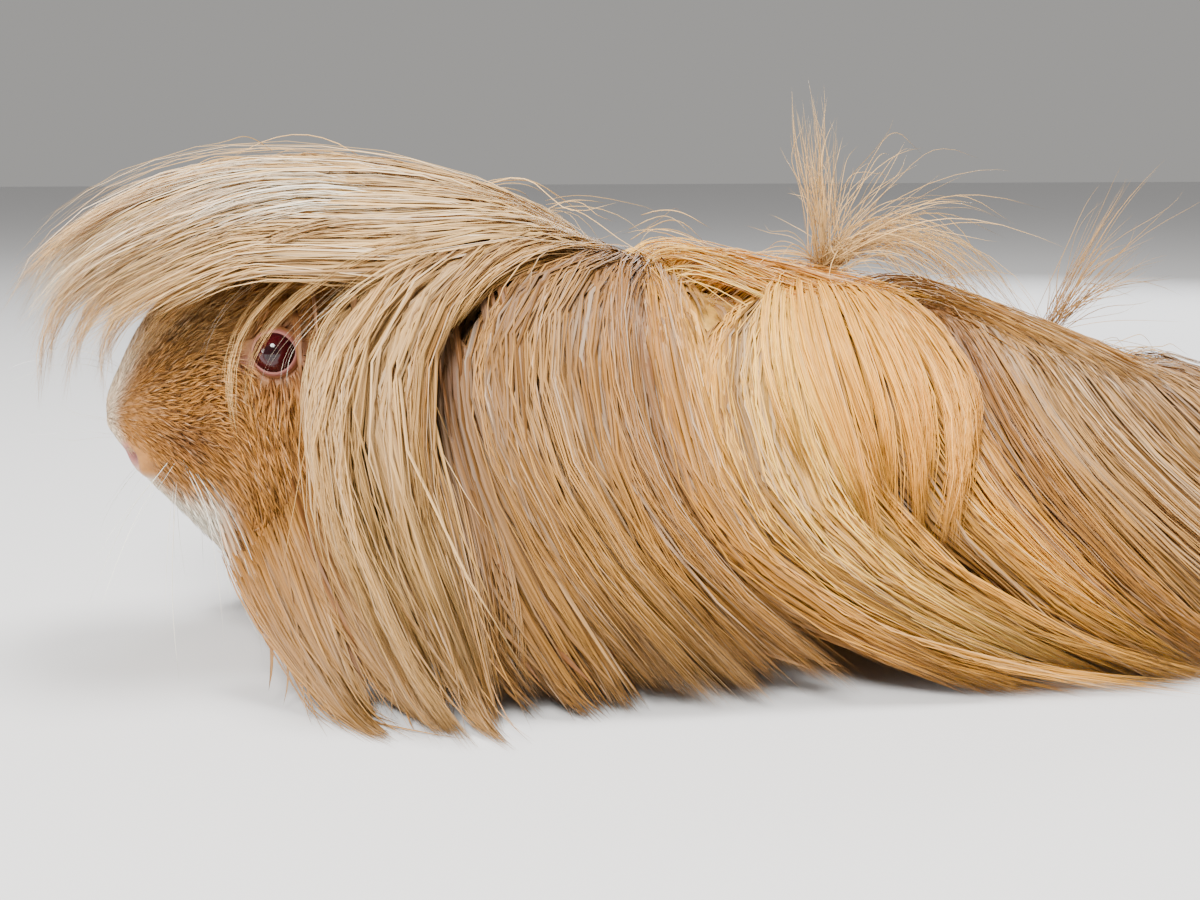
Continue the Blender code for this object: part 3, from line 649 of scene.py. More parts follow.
def undercoat(side, reach, count, seed):
    """Short dense hair on the skin all over one side, browned as painted shade in the gaps between the
    locks.
    """
    rng = np.random.default_rng(seed)
    each = (count, 1)
    m = rng.uniform(*reach, each)
    start = rng.uniform(0, 0.85, each)
    slope = np.minimum(start + rng.uniform(0.12, 0.2, each) * SHARE, 0.93)
    place = m + (flow(m, slope, RUMP_LIE) - flow(m, start, RUMP_LIE))
    depth = rng.uniform(0.25, 0.6, each) * (1 - np.exp(-SHARE * 4))
    path, out = on_coat(place, slope, depth, side)
    roots, tips = hair_colours(path[:, DENSE // 2], rng, -0.2, 0)
    spots = np.hstack([(m - reach[0]) / (reach[1] - reach[0] + 1), start])
    # Browned: painted shade in the gaps between the locks.
    colours = mixed(roots, BROWN, 0.7), mixed(tips, BROWN, 0.55)
    return bundle(path, out, rng, (1.0, 2.0), spots, colours, steps=6)


def mop_hair(side, count, seed):
    """The lock that spills from the back whorl over the flank and comes to a point."""
    rng = np.random.default_rng(seed)
    each = (count, 1)
    m = 22 + 50 * rng.random(each)
    small_m, small = gathered(m, 2.4, rng)
    big_m, big = gathered(m, 9, rng)
    edge = (m - 47) / 25
    start = 0.03 + 0.06 * rng.random(each) + 0.2 * rng.random(each) ** 3
    stop = 0.7 - 0.1 * edge**2 - 0.06 * (edge < 0) + big(0.04) + small(0.03)
    stop = stop - np.abs(rng.normal(0, 0.03, each))
    slope = start + (stop - start) * SHARE
    above = np.maximum(1 - slope / 0.45, 0) ** 2
    below = np.maximum((slope - 0.42) / 0.33, 0) ** 1.7
    line = m + (small_m - m) * 0.8 * SHARE + (big_m - small_m) * 0.5 * SHARE**2
    place = line + (50 + 0.35 * (m - 47) - m) * 1.35 * above + (43 - m) * rng.uniform(0.5, 0.8, each) * below
    wave = rng.uniform(0.3, 0.9, each) * np.sin(SHARE * 5 + rng.uniform(0, 6.3, each))
    place = place + wave * SHARE + big(2.0) * SHARE**2
    lift = rng.uniform(0.98, 1.22, each) + small(0.03) - 0.12 * edge**2
    arc = (slope - start) * SLOPE_LENGTH
    depth = lift * (1 - np.exp(-arc / rng.uniform(3, 6, each))) - 0.12 * SHARE**3
    path, out = on_coat(place, slope, depth, side)
    roots, tips = hair_colours(path[:, DENSE // 2], rng, big(0.06) + small(0.08), 0.3)
    roots = mixed(roots, GOLD, 0.5) * (1, 1, 0.8)
    tips = mixed(tips, AMBER, np.ravel(0.3 + 0.1 * step_up(m, 32, 52))) * (0.97, 1, 0.8)
    spots = np.hstack([(m - 22) / 51, start + 0.02])
    return bundle(path, out, rng, FINE, spots, (roots, tips), steps=8)


def joined(*parts):
    return {key: np.concatenate([part[key] for part in parts]) for key in parts[0]}


def line_through(*points):
    """A smooth line through points, as a function of the share of its length, 0 to 1."""
    points = np.array(points, float)
    gone = np.concatenate([[0], np.cumsum(np.linalg.norm(np.diff(points, axis=0), axis=1))])
    gone = gone / gone[-1]
    parts = [smooth(*zip(gone, points[:, k])) for k in range(3)]
    return lambda share: np.stack([part(share) for part in parts], axis=-1)


def guided_hair(guides, number, seed, ends, colours, width=FINE, steps=9, short=0.75, curl=0.5,
                swell=None):
    """Locks of hair about guide lines, with a number to each. ends gives a lock's radius at its root
    and at its tip."""
    rng = np.random.default_rng(seed)
    each = (number * len(guides), 1)
    which = np.repeat(np.arange(len(guides)), number)
    length = rng.uniform(short, 1, each) * SHARE
    centres = np.stack([guides[k](length[i]) for i, k in enumerate(which)])
    along = unit(np.gradient(centres, axis=1))
    flat = unit(np.cross(along, (0, 0, 1)) + (0, 1e-4, 0))
    rise = np.cross(flat, along)
    turn = rng.uniform(0, 6.3, each)[..., None]
    far = np.sqrt(rng.random(each))
    swell = 0.5 * sum(ends) if swell is None else swell
    radius = (ends[0] * (1 - length) + ends[1] * length + swell * length * (1 - length)) * far
    wave = curl * np.sin(length * rng.uniform(4, 9, each) + rng.uniform(0, 6.3, each)) * length
    ring = flat * np.cos(turn) + rise * 0.7 * np.sin(turn)
    path = centres + ring * radius[..., None] + rise * wave[..., None]
    path[..., 2] = np.maximum(path[..., 2], CLEARANCE)
    tone = np.clip(1 + rng.normal(0, 0.08, each), 0.6, 1.35)
    spots = np.stack([(which + 0.5) / len(guides), rng.uniform(0, 0.98, len(which))], axis=-1)
    tips = mixed(colours[0], colours[1], step_up(length[:, -1], 0.55, 0.92))
    painted = np.minimum(colours[0] * tone, 0.92), np.minimum(tips * tone, 0.92)
    return bundle(path, rise, rng, width, spots, painted, steps)


# The forelock, as the solids have it, from the crown at s = 0 to the tips at s = 1.
lock_top_x = smooth((0, NECK_END - 0.4), (0.16, -50), (0.32, -68), (0.5, -88), (0.66, -107),
                    (0.78, -119), (0.88, -125.5), (1, -127))
lock_top_z = smooth((0, 103.8), (0.16, 108.2), (0.32, 108.6), (0.5, 107), (0.66, 100),
                    (0.78, 90.5), (0.88, 80), (1, 67))
lock_under_x = smooth((0, NECK_END - 0.4), (0.16, -50), (0.32, -68), (0.5, -84), (0.66, -98),
                      (0.78, -106.5), (0.88, -110.5), (1, -115))
lock_under_z = smooth((0, 92), (0.16, 92.5), (0.32, 90.5), (0.5, 86.5), (0.66, 82.5),
                      (0.78, 76.5), (0.88, 70), (1, 63.5))
lock_angle = smooth((0, 30), (0.1, 30), (0.2, 29.8), (0.3, 28), (0.42, 22), (0.7, 18), (1, 12))
lock_half = smooth((0, 73.5), (0.25, 63), (0.42, 60), (0.7, 56), (1, 50))


def crown_arc(s, wide, angle):
    share = (np.abs(np.sin(angle)) / wide) ** FULLNESS
    height = (np.cos(angle) / CROWN_HEIGHT) ** FULLNESS
    reach = (share + height) ** (-1 / FULLNESS)
    return reach * np.sin(angle), reach * np.cos(angle) - CROWN_HEIGHT + lock_top_z(s)


def forelock_surfaces(s, across):
    """The forelock's outer and inner surfaces. Below s = 0 they follow the back."""
    back = np.maximum(-s, 0) * BACK_LENGTH
    on_body = 1 - step_up(s, 0.06, 0.4)[..., None]
    x = lock_top_x(s) + back
    wide = coat_half(x) * on_body[..., 0] + lock_half(s) * (1 - on_body[..., 0])
    angle = np.radians(lock_angle(s) * across)
    y, z = crown_arc(s, wide, angle)
    outer = coat_outer(x, lock_angle(s) * across / 90) * on_body + stacked(x, y, z) * (1 - on_body)
    rim_y, rim_z = crown_arc(s, wide, np.radians(lock_angle(s)))
    under_x, under_z = lock_under_x(s) + back, lock_under_z(s)
    hollow = under_z + (rim_z - 2.5 - under_z) * np.abs(np.clip(across, -1, 1)) ** 1.9
    loose = stacked(under_x, (rim_y - 2) * across, hollow)
    held = flesh_point(under_x, 60 * across, -1)
    return outer, held * on_body + loose * (1 - on_body)


def forelock_hair(side, count, seed, fine=FINE, high=0.83):
    """Half of the forelock, swept from the crown over the head to the fringe's points."""
    rng = np.random.default_rng(seed)
    each = (count, 1)
    start = -0.29 + 0.75 * rng.random(each) ** 1.2
    across = rng.uniform(-0.06, 1.0, each)
    big_a, big = gathered(across, 0.16, rng)
    small_a, small = gathered(across + rng.normal(0, 0.006, each), 0.03, rng)
    rear = 1 - (start + 0.29) / 0.76
    lift = np.clip(0.12 + high * rear**0.8 + rng.normal(0, 0.12, each), 0.05, 1.0)
    stop = 0.7 + 0.1 * lift + big(0.05) + small(0.05)
    stop = np.clip(stop - 0.1 * across**3 + rng.normal(0, 0.04, each), start + 0.2, 0.97)
    s = start + (stop - start) * SHARE
    gather = np.clip(s, 0, 1) ** 1.5
    a = across + (small_a - across) * 0.8 * gather + (big_a - small_a) * 0.55 * gather**2
    waist = (0.28 + 0.72 * step_up(s, -0.34, 0.42)) * (1 - 0.3 * bump(s, 0.33, 0.17))
    a = a * waist + rng.normal(0, 0.05, each) * (1 - SHARE)
    a = a + (big(0.08) + small(0.05) + rng.normal(0, 0.03, each)) * SHARE**2
    depth = lift * (1 - np.exp((start - s) * FORELOCK_LENGTH / rng.uniform(4, 10, each)))
    free = rng.random(each) < 0.05
    depth = depth + free * rng.uniform(0.1, 0.35, each) * SHARE
    path, out = laid(*forelock_surfaces(s, a), depth, side, lean=(-0.2, 0, 0.3))
    tone = big(0.05) + small(0.06)
    lies = np.maximum(path[:, DENSE // 3], (COAT_FRONT, -np.inf, 85))
    # Hair deep in the forelock is darker with browner roots: painted shade inside the lock; hair on top is
    # brighter: painted light.
    shade = 0.72 + 0.4 * step_up(lift, 0.1, 0.6)
    colours = hair_colours(lies, rng, tone, 0.05 + 0.3 * (1 - lift), dark=0.24 - 0.22 * lift)
    colours = [np.minimum(colour * shade, 0.93) for colour in colours]
    spots = np.clip(np.hstack([(start + 0.3) / 0.78, across * 0.9 + 0.06]), 0, 0.99)
    return bundle(path, out, rng, fine, spots, colours, steps=9)


# The skin.

def fur_depth(x, y):
    """How far the skin lies inside the solids: little on the nose, more on the cheeks and body."""
    return 0.3 + 2.05 * step_up(x, -103, -88) + 0.8 * step_up(x, -80, -55) * step_up(np.abs(y), 10, 25)


def nostril_share(x, side, z):
    """1 in the middle of a nostril, a comma that leans outward as it rises, and 0 outside it."""
    at_x, at_side, at_z = NOSTRIL_PLACE
    return bump(x, at_x, 3.2) * bump(side, at_side + 0.45 * (z - 45), 1.5) * bump(z, at_z, 1.8)


def eye_beside(points):
    """The middle of the eye on each point's side."""
    return stacked(EYE[0], np.copysign(EYE[1], points[..., 1]), EYE[2])


def face_shape(points, normals):
    """The face's own forms, pressed into the plain surface along its normals."""
    x, y, z = points[..., 0], points[..., 1], points[..., 2]
    side = np.abs(y)
    muzzle = 0.9 * bump(x, -101, 5) * bump(side, 9.5, 4) * bump(z, 43, 4)
    muzzle += 0.8 * bump(x, -102.5, 4) * bump(z, 43, 4)
    brow = 0.9 * bump(x, -74, 8) * bump(z, 76.5, 3) * bump(side, 18, 6)
    wing = 0.5 * bump(x, -103.8, 3) * bump(side, 7.4, 2.6) * bump(z, 48.0, 1.4)
    cleft = step_up(-x, 99, 103) * bump(y, 0, 0.7) * bump(z, 42.0, 3.0)
    lip = 38.4 - 0.03 * side**2
    mouth = 1.8 * step_up(-x, 91, 96) * bump(z, lip, 0.75) * (1 - step_up(side, 9, 12))
    chin = 0.5 * step_up(-x, 92, 96) * bump(z, lip - 2.2, 1.4) * (1 - step_up(side, 5, 9))
    socket = 4.5 * (1 - step_up(np.linalg.norm(points - eye_beside(points), axis=-1), 3.6, 5.3))
    move = muzzle + brow + wing + chin - cleft - mouth - socket - 2.4 * nostril_share(x, side, z)
    return points + normals * move[..., None]


def grid_normals(grid):
    down = np.gradient(grid, axis=0)
    round_ = np.roll(grid, -1, axis=1) - np.roll(grid, 1, axis=1)
    normal = unit(np.cross(round_, down))
    centre = grid.mean(axis=1, keepdims=True)
    return normal * np.sign(np.sum(normal * (grid - centre), axis=(0, 1, 2)) + 1e-9)


def body_mesh():
    """The skin of head, neck and body, closed at the nose and rump."""
    places = np.concatenate([
        np.linspace(NOSE_END, -98, 34, endpoint=False), np.linspace(-98, -64, 70, endpoint=False),
        np.linspace(-64, DOME_START, 70, endpoint=False),
    ])
    angles = np.linspace(0, 360, 192, endpoint=False)
    grid = flesh_point(places[:, None], angles[None])
    middle = grid.mean(axis=1, keepdims=True)
    inward = fur_depth(grid[..., 0], grid[..., 1])[..., None]
    grid = grid - unit((grid - middle) * (0, 1, 1)) * inward
    ring = flesh_point(DOME_START, angles, -1.5)
    centre = ring.mean(axis=0)
    past = np.linspace(0, 1, 16)[:-1, None]
    shrink = np.sqrt(1 - past**2)
    dome = centre + (ring - centre) * stacked(1, shrink, shrink) + stacked(
        (RUMP_END - 2 - DOME_START) * past, 0, 0)
    grid = np.concatenate([grid, dome])
    grid = face_shape(grid, grid_normals(grid))
    return closed_rings("skin", grid, ((0.2, 0, 0), (0.5, 0, 0)))


def limb(name, route, radii, rows=14, columns=16):
    """A round limb along a route, thick as its radii say, rounded at its end."""
    line = line_through(*route)
    gone = np.linspace(0, 1, len(radii))
    thick = smooth(*zip(gone, radii))
    share = np.concatenate([np.linspace(0, 0.9, rows - 4, endpoint=False), (0.9, 0.95, 0.985, 1.0)])
    centres = line(share)
    along = unit(np.gradient(centres, axis=0))
    aside = unit(np.cross(along, (0.02, 1, 0.01)))
    up = np.cross(aside, along)
    turn = np.linspace(0, 2 * math.pi, columns, endpoint=False)[None, :, None]
    end = np.sqrt(np.maximum(1 - np.maximum((share - 0.88) / 0.125, 0) ** 2, 0.02))
    radius = (thick(share) * end)[:, None, None]
    rings = centres[:, None] + radius * (aside[:, None] * np.cos(turn) + up[:, None] * np.sin(turn))
    rings[..., 2] = np.maximum(rings[..., 2], 0.25)
    return closed_rings(name, rings)


LEGS = (  # name, ankle, heel, ball of the foot, width, turns of the toes
    ("front", (-46.3, 21, 27.3), (-45, 21.5, 5.2), (-52, 22, 2.8), 6.3, (-22, -7, 8, 24)),
    ("hind", (104, 29, 30), (110, 30, 5), (88, 33, 2.8), 7.3, (-12, 4, 20)),
)


def foot_routes(side):
    """Each limb of one side as (name, route, radii), and each claw as (root, tip)."""
    limbs, claws = [], []
    for name, ankle, heel, ball, width, turns in LEGS:
        ankle, heel, ball = (np.array(point) * (1, side, 1) for point in (ankle, heel, ball))
        shin = (ankle + (0, 0, 4), (ankle + heel) / 2 + (0, 0, 3), heel + (0, 0, 1))
        limbs.append((f"shin_{name}", shin, (width, width * 0.8, width * 0.55)))
        sole = (heel, (heel + ball) / 2 + (0, 0, 0.6), ball - (2, 0, 0))
        limbs.append((f"sole_{name}", sole, (width * 0.5, width * 0.6, width * 0.5)))
        for k, turn in enumerate(turns):
            way = np.array((-math.cos(math.radians(turn)), side * math.sin(math.radians(turn)), 0))
            tip = ball + way * 11 + (0, 0, -1.2)
            limbs.append((f"toe_{name}_{k}", (ball - way * 3, ball + way * 5 + (0, 0, 0.8), tip),
                          (1.7, 1.6, 1.3)))
            claws.append((tip - way * 1.5 + (0, 0, 0.4), tip + way * 5 + (0, 0, -0.9)))
    return limbs, claws


def ear_mesh(side):
    """A drooping petal, folded over at the top, under the hanging hair."""
    down, across = np.meshgrid(np.linspace(0, 1, 22), np.linspace(-1, 1, 18), indexing="ij")
    half = 10.8 * np.sin(np.pi * (0.16 + 0.78 * down)) ** 0.6
    ruffle = 0.5 * np.sin(across * 5 + down * 3)
    lift = 0.8 + 2.6 * down + 0.9 * np.sin(np.pi * down) + 1.4 * across**2 + ruffle * down
    x = -46 + half * across + 3 * down
    inner = flesh_point(x, 64 + 35 * down, lift)
    outer = flesh_point(x, 64 + 35 * down, lift + 0.8 + 0.3 * (1 - across**2))
    rows = [np.concatenate([outer[i], inner[i][::-1]]) for i in range(len(inner))]
    return closed_rings("ear", np.array(rows) * (1, side, 1))


LID_PROFILE = (  # degrees out from the opening's edge, and height above the eyeball
    (0, -0.3), (0, 0), (1.5, 0.16), (5, 0.26), (10, 0.28), (16, 0.3), (22, 0.34), (29, 0.4), (38, 0.4),
    (46, -1.2), (26, -1.4), (10, -0.8),
)


def facing_frame(side):
    """The way the eye looks, and across and up on its surface."""
    facing = unit(np.array((-0.3, side, 0.1)))
    across = unit(np.cross(facing, (0, 0, 1))) * side
    up = np.cross(across, facing)
    return facing, across, up * np.sign(up[2])


def lid_mesh(side):
    """Both lids of one eye: a soft rim round an opening drawn out to a corner in front."""
    facing, across, up = facing_frame(side)
    across = across * -np.sign(across[0])
    turn = np.linspace(0, 2 * math.pi, 72, endpoint=False)[:, None]
    corner, rear = (bump(np.mod(turn - math.radians(way) + math.pi, 2 * math.pi), math.pi, width)
                    for way, width in ((-18, 0.32), (172, 0.3)))
    opening = np.radians(58 + 2 * np.cos(2 * turn) + 14 * corner + 5 * rear)
    past, rise = np.array(LID_PROFILE).T
    spread = (opening + np.radians(past))[..., None]
    flat = (np.cos(turn) * across + np.sin(turn) * up)[:, None]
    points = EYE * (1, -side, 1) + (EYE_RADIUS + rise)[:, None] * (
        np.cos(spread) * facing + np.sin(spread) * flat)
    quads = ring_quads(*points.shape[:2], whole=True)
    return closed_mesh("lids", points.reshape(-1, 3), quads, np.zeros((0, 3), int))


def union(mesh, others):
    """One closed skin from the body and the parts that grow out of it."""
    base = add_object("base", mesh)
    added = []
    for other in others:
        grown = add_object("grown", other)
        join = base.modifiers.new("union", "BOOLEAN")
        join.object = grown
        join.operation = "UNION"
        join.solver = "EXACT"
        added.append(grown)
    evaluated = base.evaluated_get(bpy.context.evaluated_depsgraph_get())
    made = bpy.data.meshes.new_from_object(evaluated)
    for thing in (*added, base):
        bpy.data.objects.remove(thing)
    return made


def vertex_places(mesh):
    places = np.empty(len(mesh.vertices) * 3, np.float32)
    mesh.vertices.foreach_get("co", places)
    return places.reshape(-1, 3) / MM - OFFSET


def skin_colour(points):
    """The marking, with bare pink at the nose, lids and feet, the nostril's hollow in painted shade,
    and ears painted dark brown as the shade under the hanging hair.
    """
    x, y, z = points.T
    side = np.abs(y)
    colour = marking_and_painted_light(points) * 0.85
    nose = step_up(-x, 100.8, 103.4) * bump(z, 45.2, 4.2) * (1 - step_up(side, 8.5, 11))
    colour = mixed(colour, NOSE_PINK, nose)
    # The nostril: darker pink skin, and painted shade in its hollow.
    colour = mixed(colour, NOSTRIL, nostril_share(x, side, z))
    spoke = points - eye_beside(points)
    far = np.linalg.norm(spoke, axis=-1)
    looks = np.where(y[:, None] > 0, facing_frame(1)[0], facing_frame(-1)[0])
    open_to = np.degrees(np.arccos(np.clip(np.sum(unit(spoke) * looks, axis=-1), -1, 1)))
    rim = (1 - step_up(far, 5.8, 7.2)) * (1 - 0.7 * step_up(open_to, 62, 74))
    corner = bump(x, -79.6, 2.4) * bump(z, 65.4, 2.4) * (1 - step_up(far, 8, 10))
    colour = mixed(colour, BROWN, 0.3 * (1 - step_up(far, 7, 10)))
    colour = mixed(colour, LID_PINK, np.maximum(rim, 0.8 * corner))
    # Dark brown ears: painted shade under the hanging hair.
    colour = mixed(colour, BROWN, step_up(side, 34, 37) * bump(x, -46, 14) * bump(z, 60, 26))
    return mixed(colour, PINK, (1 - step_up(z, 6, 12)) * step_up(x, -75, -70))


def make_skin(material):
    grown = []
    for _, side in SIDES:
        limbs, _ = foot_routes(side)
        grown += [limb(*each) for each in limbs]
        grown += [ear_mesh(side), lid_mesh(side)]
    mesh = union(body_mesh(), grown)
    mesh.shade_smooth()
    paint(mesh, skin_colour(vertex_places(mesh)))
    mesh.materials.clear()
    mesh.materials.append(material)
    pairs = [f"{part}_{name}" for part in ("ear", "leg_front", "leg_hind") for name, _ in SIDES]
    add_piece("skin", mesh, ("head", "neck", "trunk", "rump", *pairs))


def make_claws(material):
    for name, side in SIDES:
        for k, (root, tip) in enumerate(foot_routes(side)[1]):
            mesh = limb("claw", (root, (root + tip) / 2 + (0, 0, 0.35), tip), (0.85, 0.6, 0.22), 8, 8)
            mesh.shade_smooth()
            mesh.materials.append(material)
            add_piece(f"claw_{name}_{k}", mesh)


def limb_hair(side, count, seed):
    """Short fur laid down the legs, feet and toes of one side."""
    rng = np.random.default_rng(seed)
    down = np.linspace(0, 1, 4)[None]
    parts = []
    for name, route, radii in foot_routes(side)[0]:
        shin = name.startswith("shin")
        line, thick = line_through(*route), smooth(*zip(np.linspace(0, 1, len(radii)), radii))
        each = (count // (3 if shin else 7), 1)
        start, turn = rng.uniform(0.0, 0.92, each), rng.uniform(0, 6.3, each)
        length = (5.0 if shin else 2.6) / np.linalg.norm(np.subtract(route[-1], route[0]))
        share = np.minimum(start + length * rng.uniform(0.7, 1.2, each) * down, 1.02)
        ahead = unit(line(np.minimum(share + 0.02, 1)) - line(np.minimum(share, 0.98) - 0.02))
        aside = unit(np.cross(ahead, (0.02, 1, 0.01)))
        out = aside * np.cos(turn)[..., None] + np.cross(aside, ahead) * np.sin(turn)[..., None]
        lift = 0.75 * np.sin(down * 1.8)
        path = line(share) + out * (thick(np.minimum(share, 1)) + lift)[..., None]
        path[..., 2] = np.maximum(path[..., 2], 0.35)
        tone = rng.normal(0, 0.05, each)
        lies = np.maximum(path[:, 1], (COAT_FRONT + 10, -np.inf, 0))
        colours = hair_colours(lies, rng, tone, 0.2)
        parts.append(bundle(path, out, rng, (0.3, 0.6), np.hstack([start, turn / 6.4]), colours))
    return joined(*parts)


# Face fur.

def face_heading(x, z):
    """Which way the fur lies on the side of the head, in degrees: 0 back, 90 down, -90 up."""
    low = 1 - step_up(z, 60, 72)
    heading = 8 + 58 * step_up(x, -92, -76) * low
    heading = heading + 34 * (1 - step_up(z, 34, 46)) * step_up(x, -102, -90)
    heading = heading + 18 * step_up(x, -82, -68) * (1 - step_up(z, 34, 54))
    heading = heading - 38 * bump(z, 70, 9) * (1 - step_up(x, -97, -86))
    heading = heading - 34 * bump(x, -90, 6) * bump(z, 56, 6)
    far = np.hypot(x - EYE[0], z - EYE[2])
    return heading + 45 * np.clip((EYE[2] - z) / 5, -1, 1) * bump(far, 6, 4)


def face_length(x, z):
    length = 1.3 + 2.6 * step_up(x, -107, -92) + 2.4 * step_up(x, -88, -66)
    length = length + 8 * (1 - step_up(z, 34, 56)) * step_up(x, -92, -74)
    return length + 4 * (1 - step_up(z, 22, 34)) * step_up(x, -94, -80)


def face_hair(side, count, seed):
    """Short fur of one side of the head, laid back from the nose and down the cheek."""
    rng = np.random.default_rng(seed)
    each = (count, 1)
    x = NOSE_END - 1 + 61 * rng.random(each) ** 1.1
    angle = rng.uniform(-4, 178, each)
    root = flesh_point(x, angle)
    height = root[..., 2]
    length = face_length(x, height) * rng.uniform(0.75, 1.3, each)
    heading = np.radians(face_heading(x, height) + rng.normal(0, 10, each))
    share = np.linspace(0, 1, 3)[None]
    girth = np.maximum(np.hypot(root[..., 1], height - 52), 7)
    path_x = x + length * share * np.cos(heading)
    path_angle = angle + np.degrees(length * share * np.sin(heading) / girth)
    skin = -fur_depth(path_x, root[..., 1])
    rise = rng.uniform(0.6, 1.25, each) * np.sin(share * 1.7) * (1 + 0.04 * length)
    near_eye = bump(np.hypot(path_x - EYE[0], height - EYE[2]), 6, 2.5)
    near_nose = 1 - step_up(path_x, -103, -92)
    path = flesh_point(path_x, path_angle, skin * (1 - rise * (1 + 0.5 * near_eye + 0.9 * near_nose)))
    path[..., 2] = np.maximum(path[..., 2], CLEARANCE)
    middle = stacked(path_x, 0, (flesh_top(path_x) + flesh_low(path_x)) / 2)
    blunt = np.sqrt(np.clip(path_x - NOSE_END + 1, 0, 1))[..., None]
    path = middle + (path - middle) * blunt
    path[..., 0] = np.maximum(path_x, NOSE_END) - 0.3 * rise * (1 - step_up(path_x, NOSE_END, NOSE_END + 3))
    out = unit(path - middle - (1 - blunt) * (1, 0, 0))
    gap = np.linalg.norm(path - EYE * (1, -1, 1), axis=-1).min(axis=1)
    nostril = np.linalg.norm(path[:, 0] - NOSTRIL_PLACE, axis=-1)
    pad = (path[:, 0, 0] < -101.8) & (np.abs(path[:, 0, 2] - 45.4) < 2.6) & (path[:, 0, 1] < 9.5)
    path, out = path * (1, side, 1), out * (1, side, 1)
    # crease darkens the fur: painted shade in the crease behind the whisker pad.
    crease = bump(x, -91, 4) * bump(height, 50, 4)
    under_eye = bump(x, -76, 12) * bump(height, 54, 9)
    tone = 0.05 * np.sin(x * 1.3 + angle * 0.17) - 0.3 * crease + 0.12 * under_eye
    roots, tips = hair_colours(path[:, 0], rng, tone, 0.12, pale=0.15)
    rim = 1 - step_up(gap, 5.8, 8.0)
    colours = mixed(roots, LID_PINK, 0.2 * rim), mixed(tips, LID_PINK, 0.25 * rim)
    spots = np.hstack([(x - NOSE_END + 1) / 62, (angle + 4) / 184])
    hair = bundle(path, out, rng, (0.22, 0.46), spots, colours)
    hair["width"] *= np.clip(length[:, 0] / 3, 0.6, 1.1)
    keep = (gap > 5.35) & (nostril > 2.6) & ~pad
    return {key: value[keep] for key, value in hair.items()}


def falling_hair(side, reach, turns, length, count, seed, lean=(0.45, 0.2, -0.85)):
    """Hair that hangs from the underside: rooted between two places and two turns of the body."""
    rng = np.random.default_rng(seed)
    x = rng.uniform(*reach, count)
    angle = rng.uniform(*turns, count)
    root = flesh_point(x, angle, -1.5)
    _, lock = gathered(x + 0.15 * angle, 2.5, rng)
    way = np.array(lean) + np.stack([lock(spread) for spread in (0.12, 0.12, 0.02)], axis=-1)
    way = unit(way + rng.normal(0, 0.07, (count, 3)))
    share = np.linspace(0, 1, 6)[None, :, None]
    reach_out = rng.uniform(*length, (count, 1, 1)) * share
    out = unit(root - stacked(x, 0, (flesh_top(x) + flesh_low(x)) / 2))[:, None]
    path = root[:, None] + way[:, None] * reach_out + out * 4 * np.sin(share * 2) * share
    path[..., 2] = np.maximum(path[..., 2], 0.4 + 0.8 * rng.random((count, 1)))
    path, out = path * (1, side, 1), np.broadcast_to(out * (1, side, 1), path.shape)
    colours = hair_colours(path[:, 2], rng, lock(0.1), 0.25)
    spots = np.stack([(x - reach[0]) / (reach[1] - reach[0] + 1), angle / 190], axis=-1)
    return bundle(path, out, rng, (0.4, 0.9), spots, colours, spin=0.4)


# Eyes.

def make_eyes(material):
    for name, side in SIDES:
        shape = bmesh.new()
        bmesh.ops.create_uvsphere(shape, u_segments=48, v_segments=32, radius=1)
        mesh = bpy.data.meshes.new(f"eyeball_{name}")
        shape.to_mesh(mesh)
        shape.free()
        ball = np.empty(len(mesh.vertices) * 3, np.float32)
        mesh.vertices.foreach_get("co", ball)
        ball = ball.reshape(-1, 3)
        turn = Vector((0, 0, 1)).rotation_difference(Vector(facing_frame(side)[0])).to_matrix()
        bulge = 1 + 0.05 * step_up(ball[:, 2], 0.72, 0.95)
        places = EYE * (1, -side, 1) + ball @ np.array(turn).T * (EYE_RADIUS - 0.1) * bulge[:, None]
        mesh.vertices.foreach_set("co", to_row(places).astype(np.float32).ravel())
        mesh.shade_smooth()
        open_to = np.degrees(np.arccos(np.clip(ball[:, 2], -1, 1)))
        spoke = 0.75 + 0.25 * (0.5 + 0.5 * np.sin(np.arctan2(ball[:, 1], ball[:, 0]) * 23))
        colour = mixed(PUPIL, IRIS, step_up(open_to, 17, 23) * spoke)
        colour = mixed(colour, IRIS_EDGE, step_up(open_to, 44, 54))
        paint(mesh, mixed(colour, EYE_WHITE, step_up(open_to, 64, 72)))
        mesh.materials.append(material)
        add_piece(f"eyeball_{name}", mesh, (f"eye_{name}",))


# Floor, light and camera.

def make_floor():
    shape = bmesh.new()
    bmesh.ops.create_grid(shape, x_segments=1, y_segments=1, size=6)
    mesh = bpy.data.meshes.new("floor")
    shape.to_mesh(mesh)
    shape.free()
    mesh.materials.append(plain_material("floor", (0.72, 0.72, 0.73), 0.8))
    add_object("floor", mesh)


def add_light(name, place, aim, size, power, colour):
    data = bpy.data.lights.new(name, "AREA")
    data.shape = "DISK"
    data.size = size
    data.energy = power
    data.color = colour
    light = add_object(name, data)
    light.location = place
    light.rotation_mode = "QUATERNION"
    light.rotation_quaternion = (Vector(aim) - Vector(place)).to_track_quat("-Z", "Y")


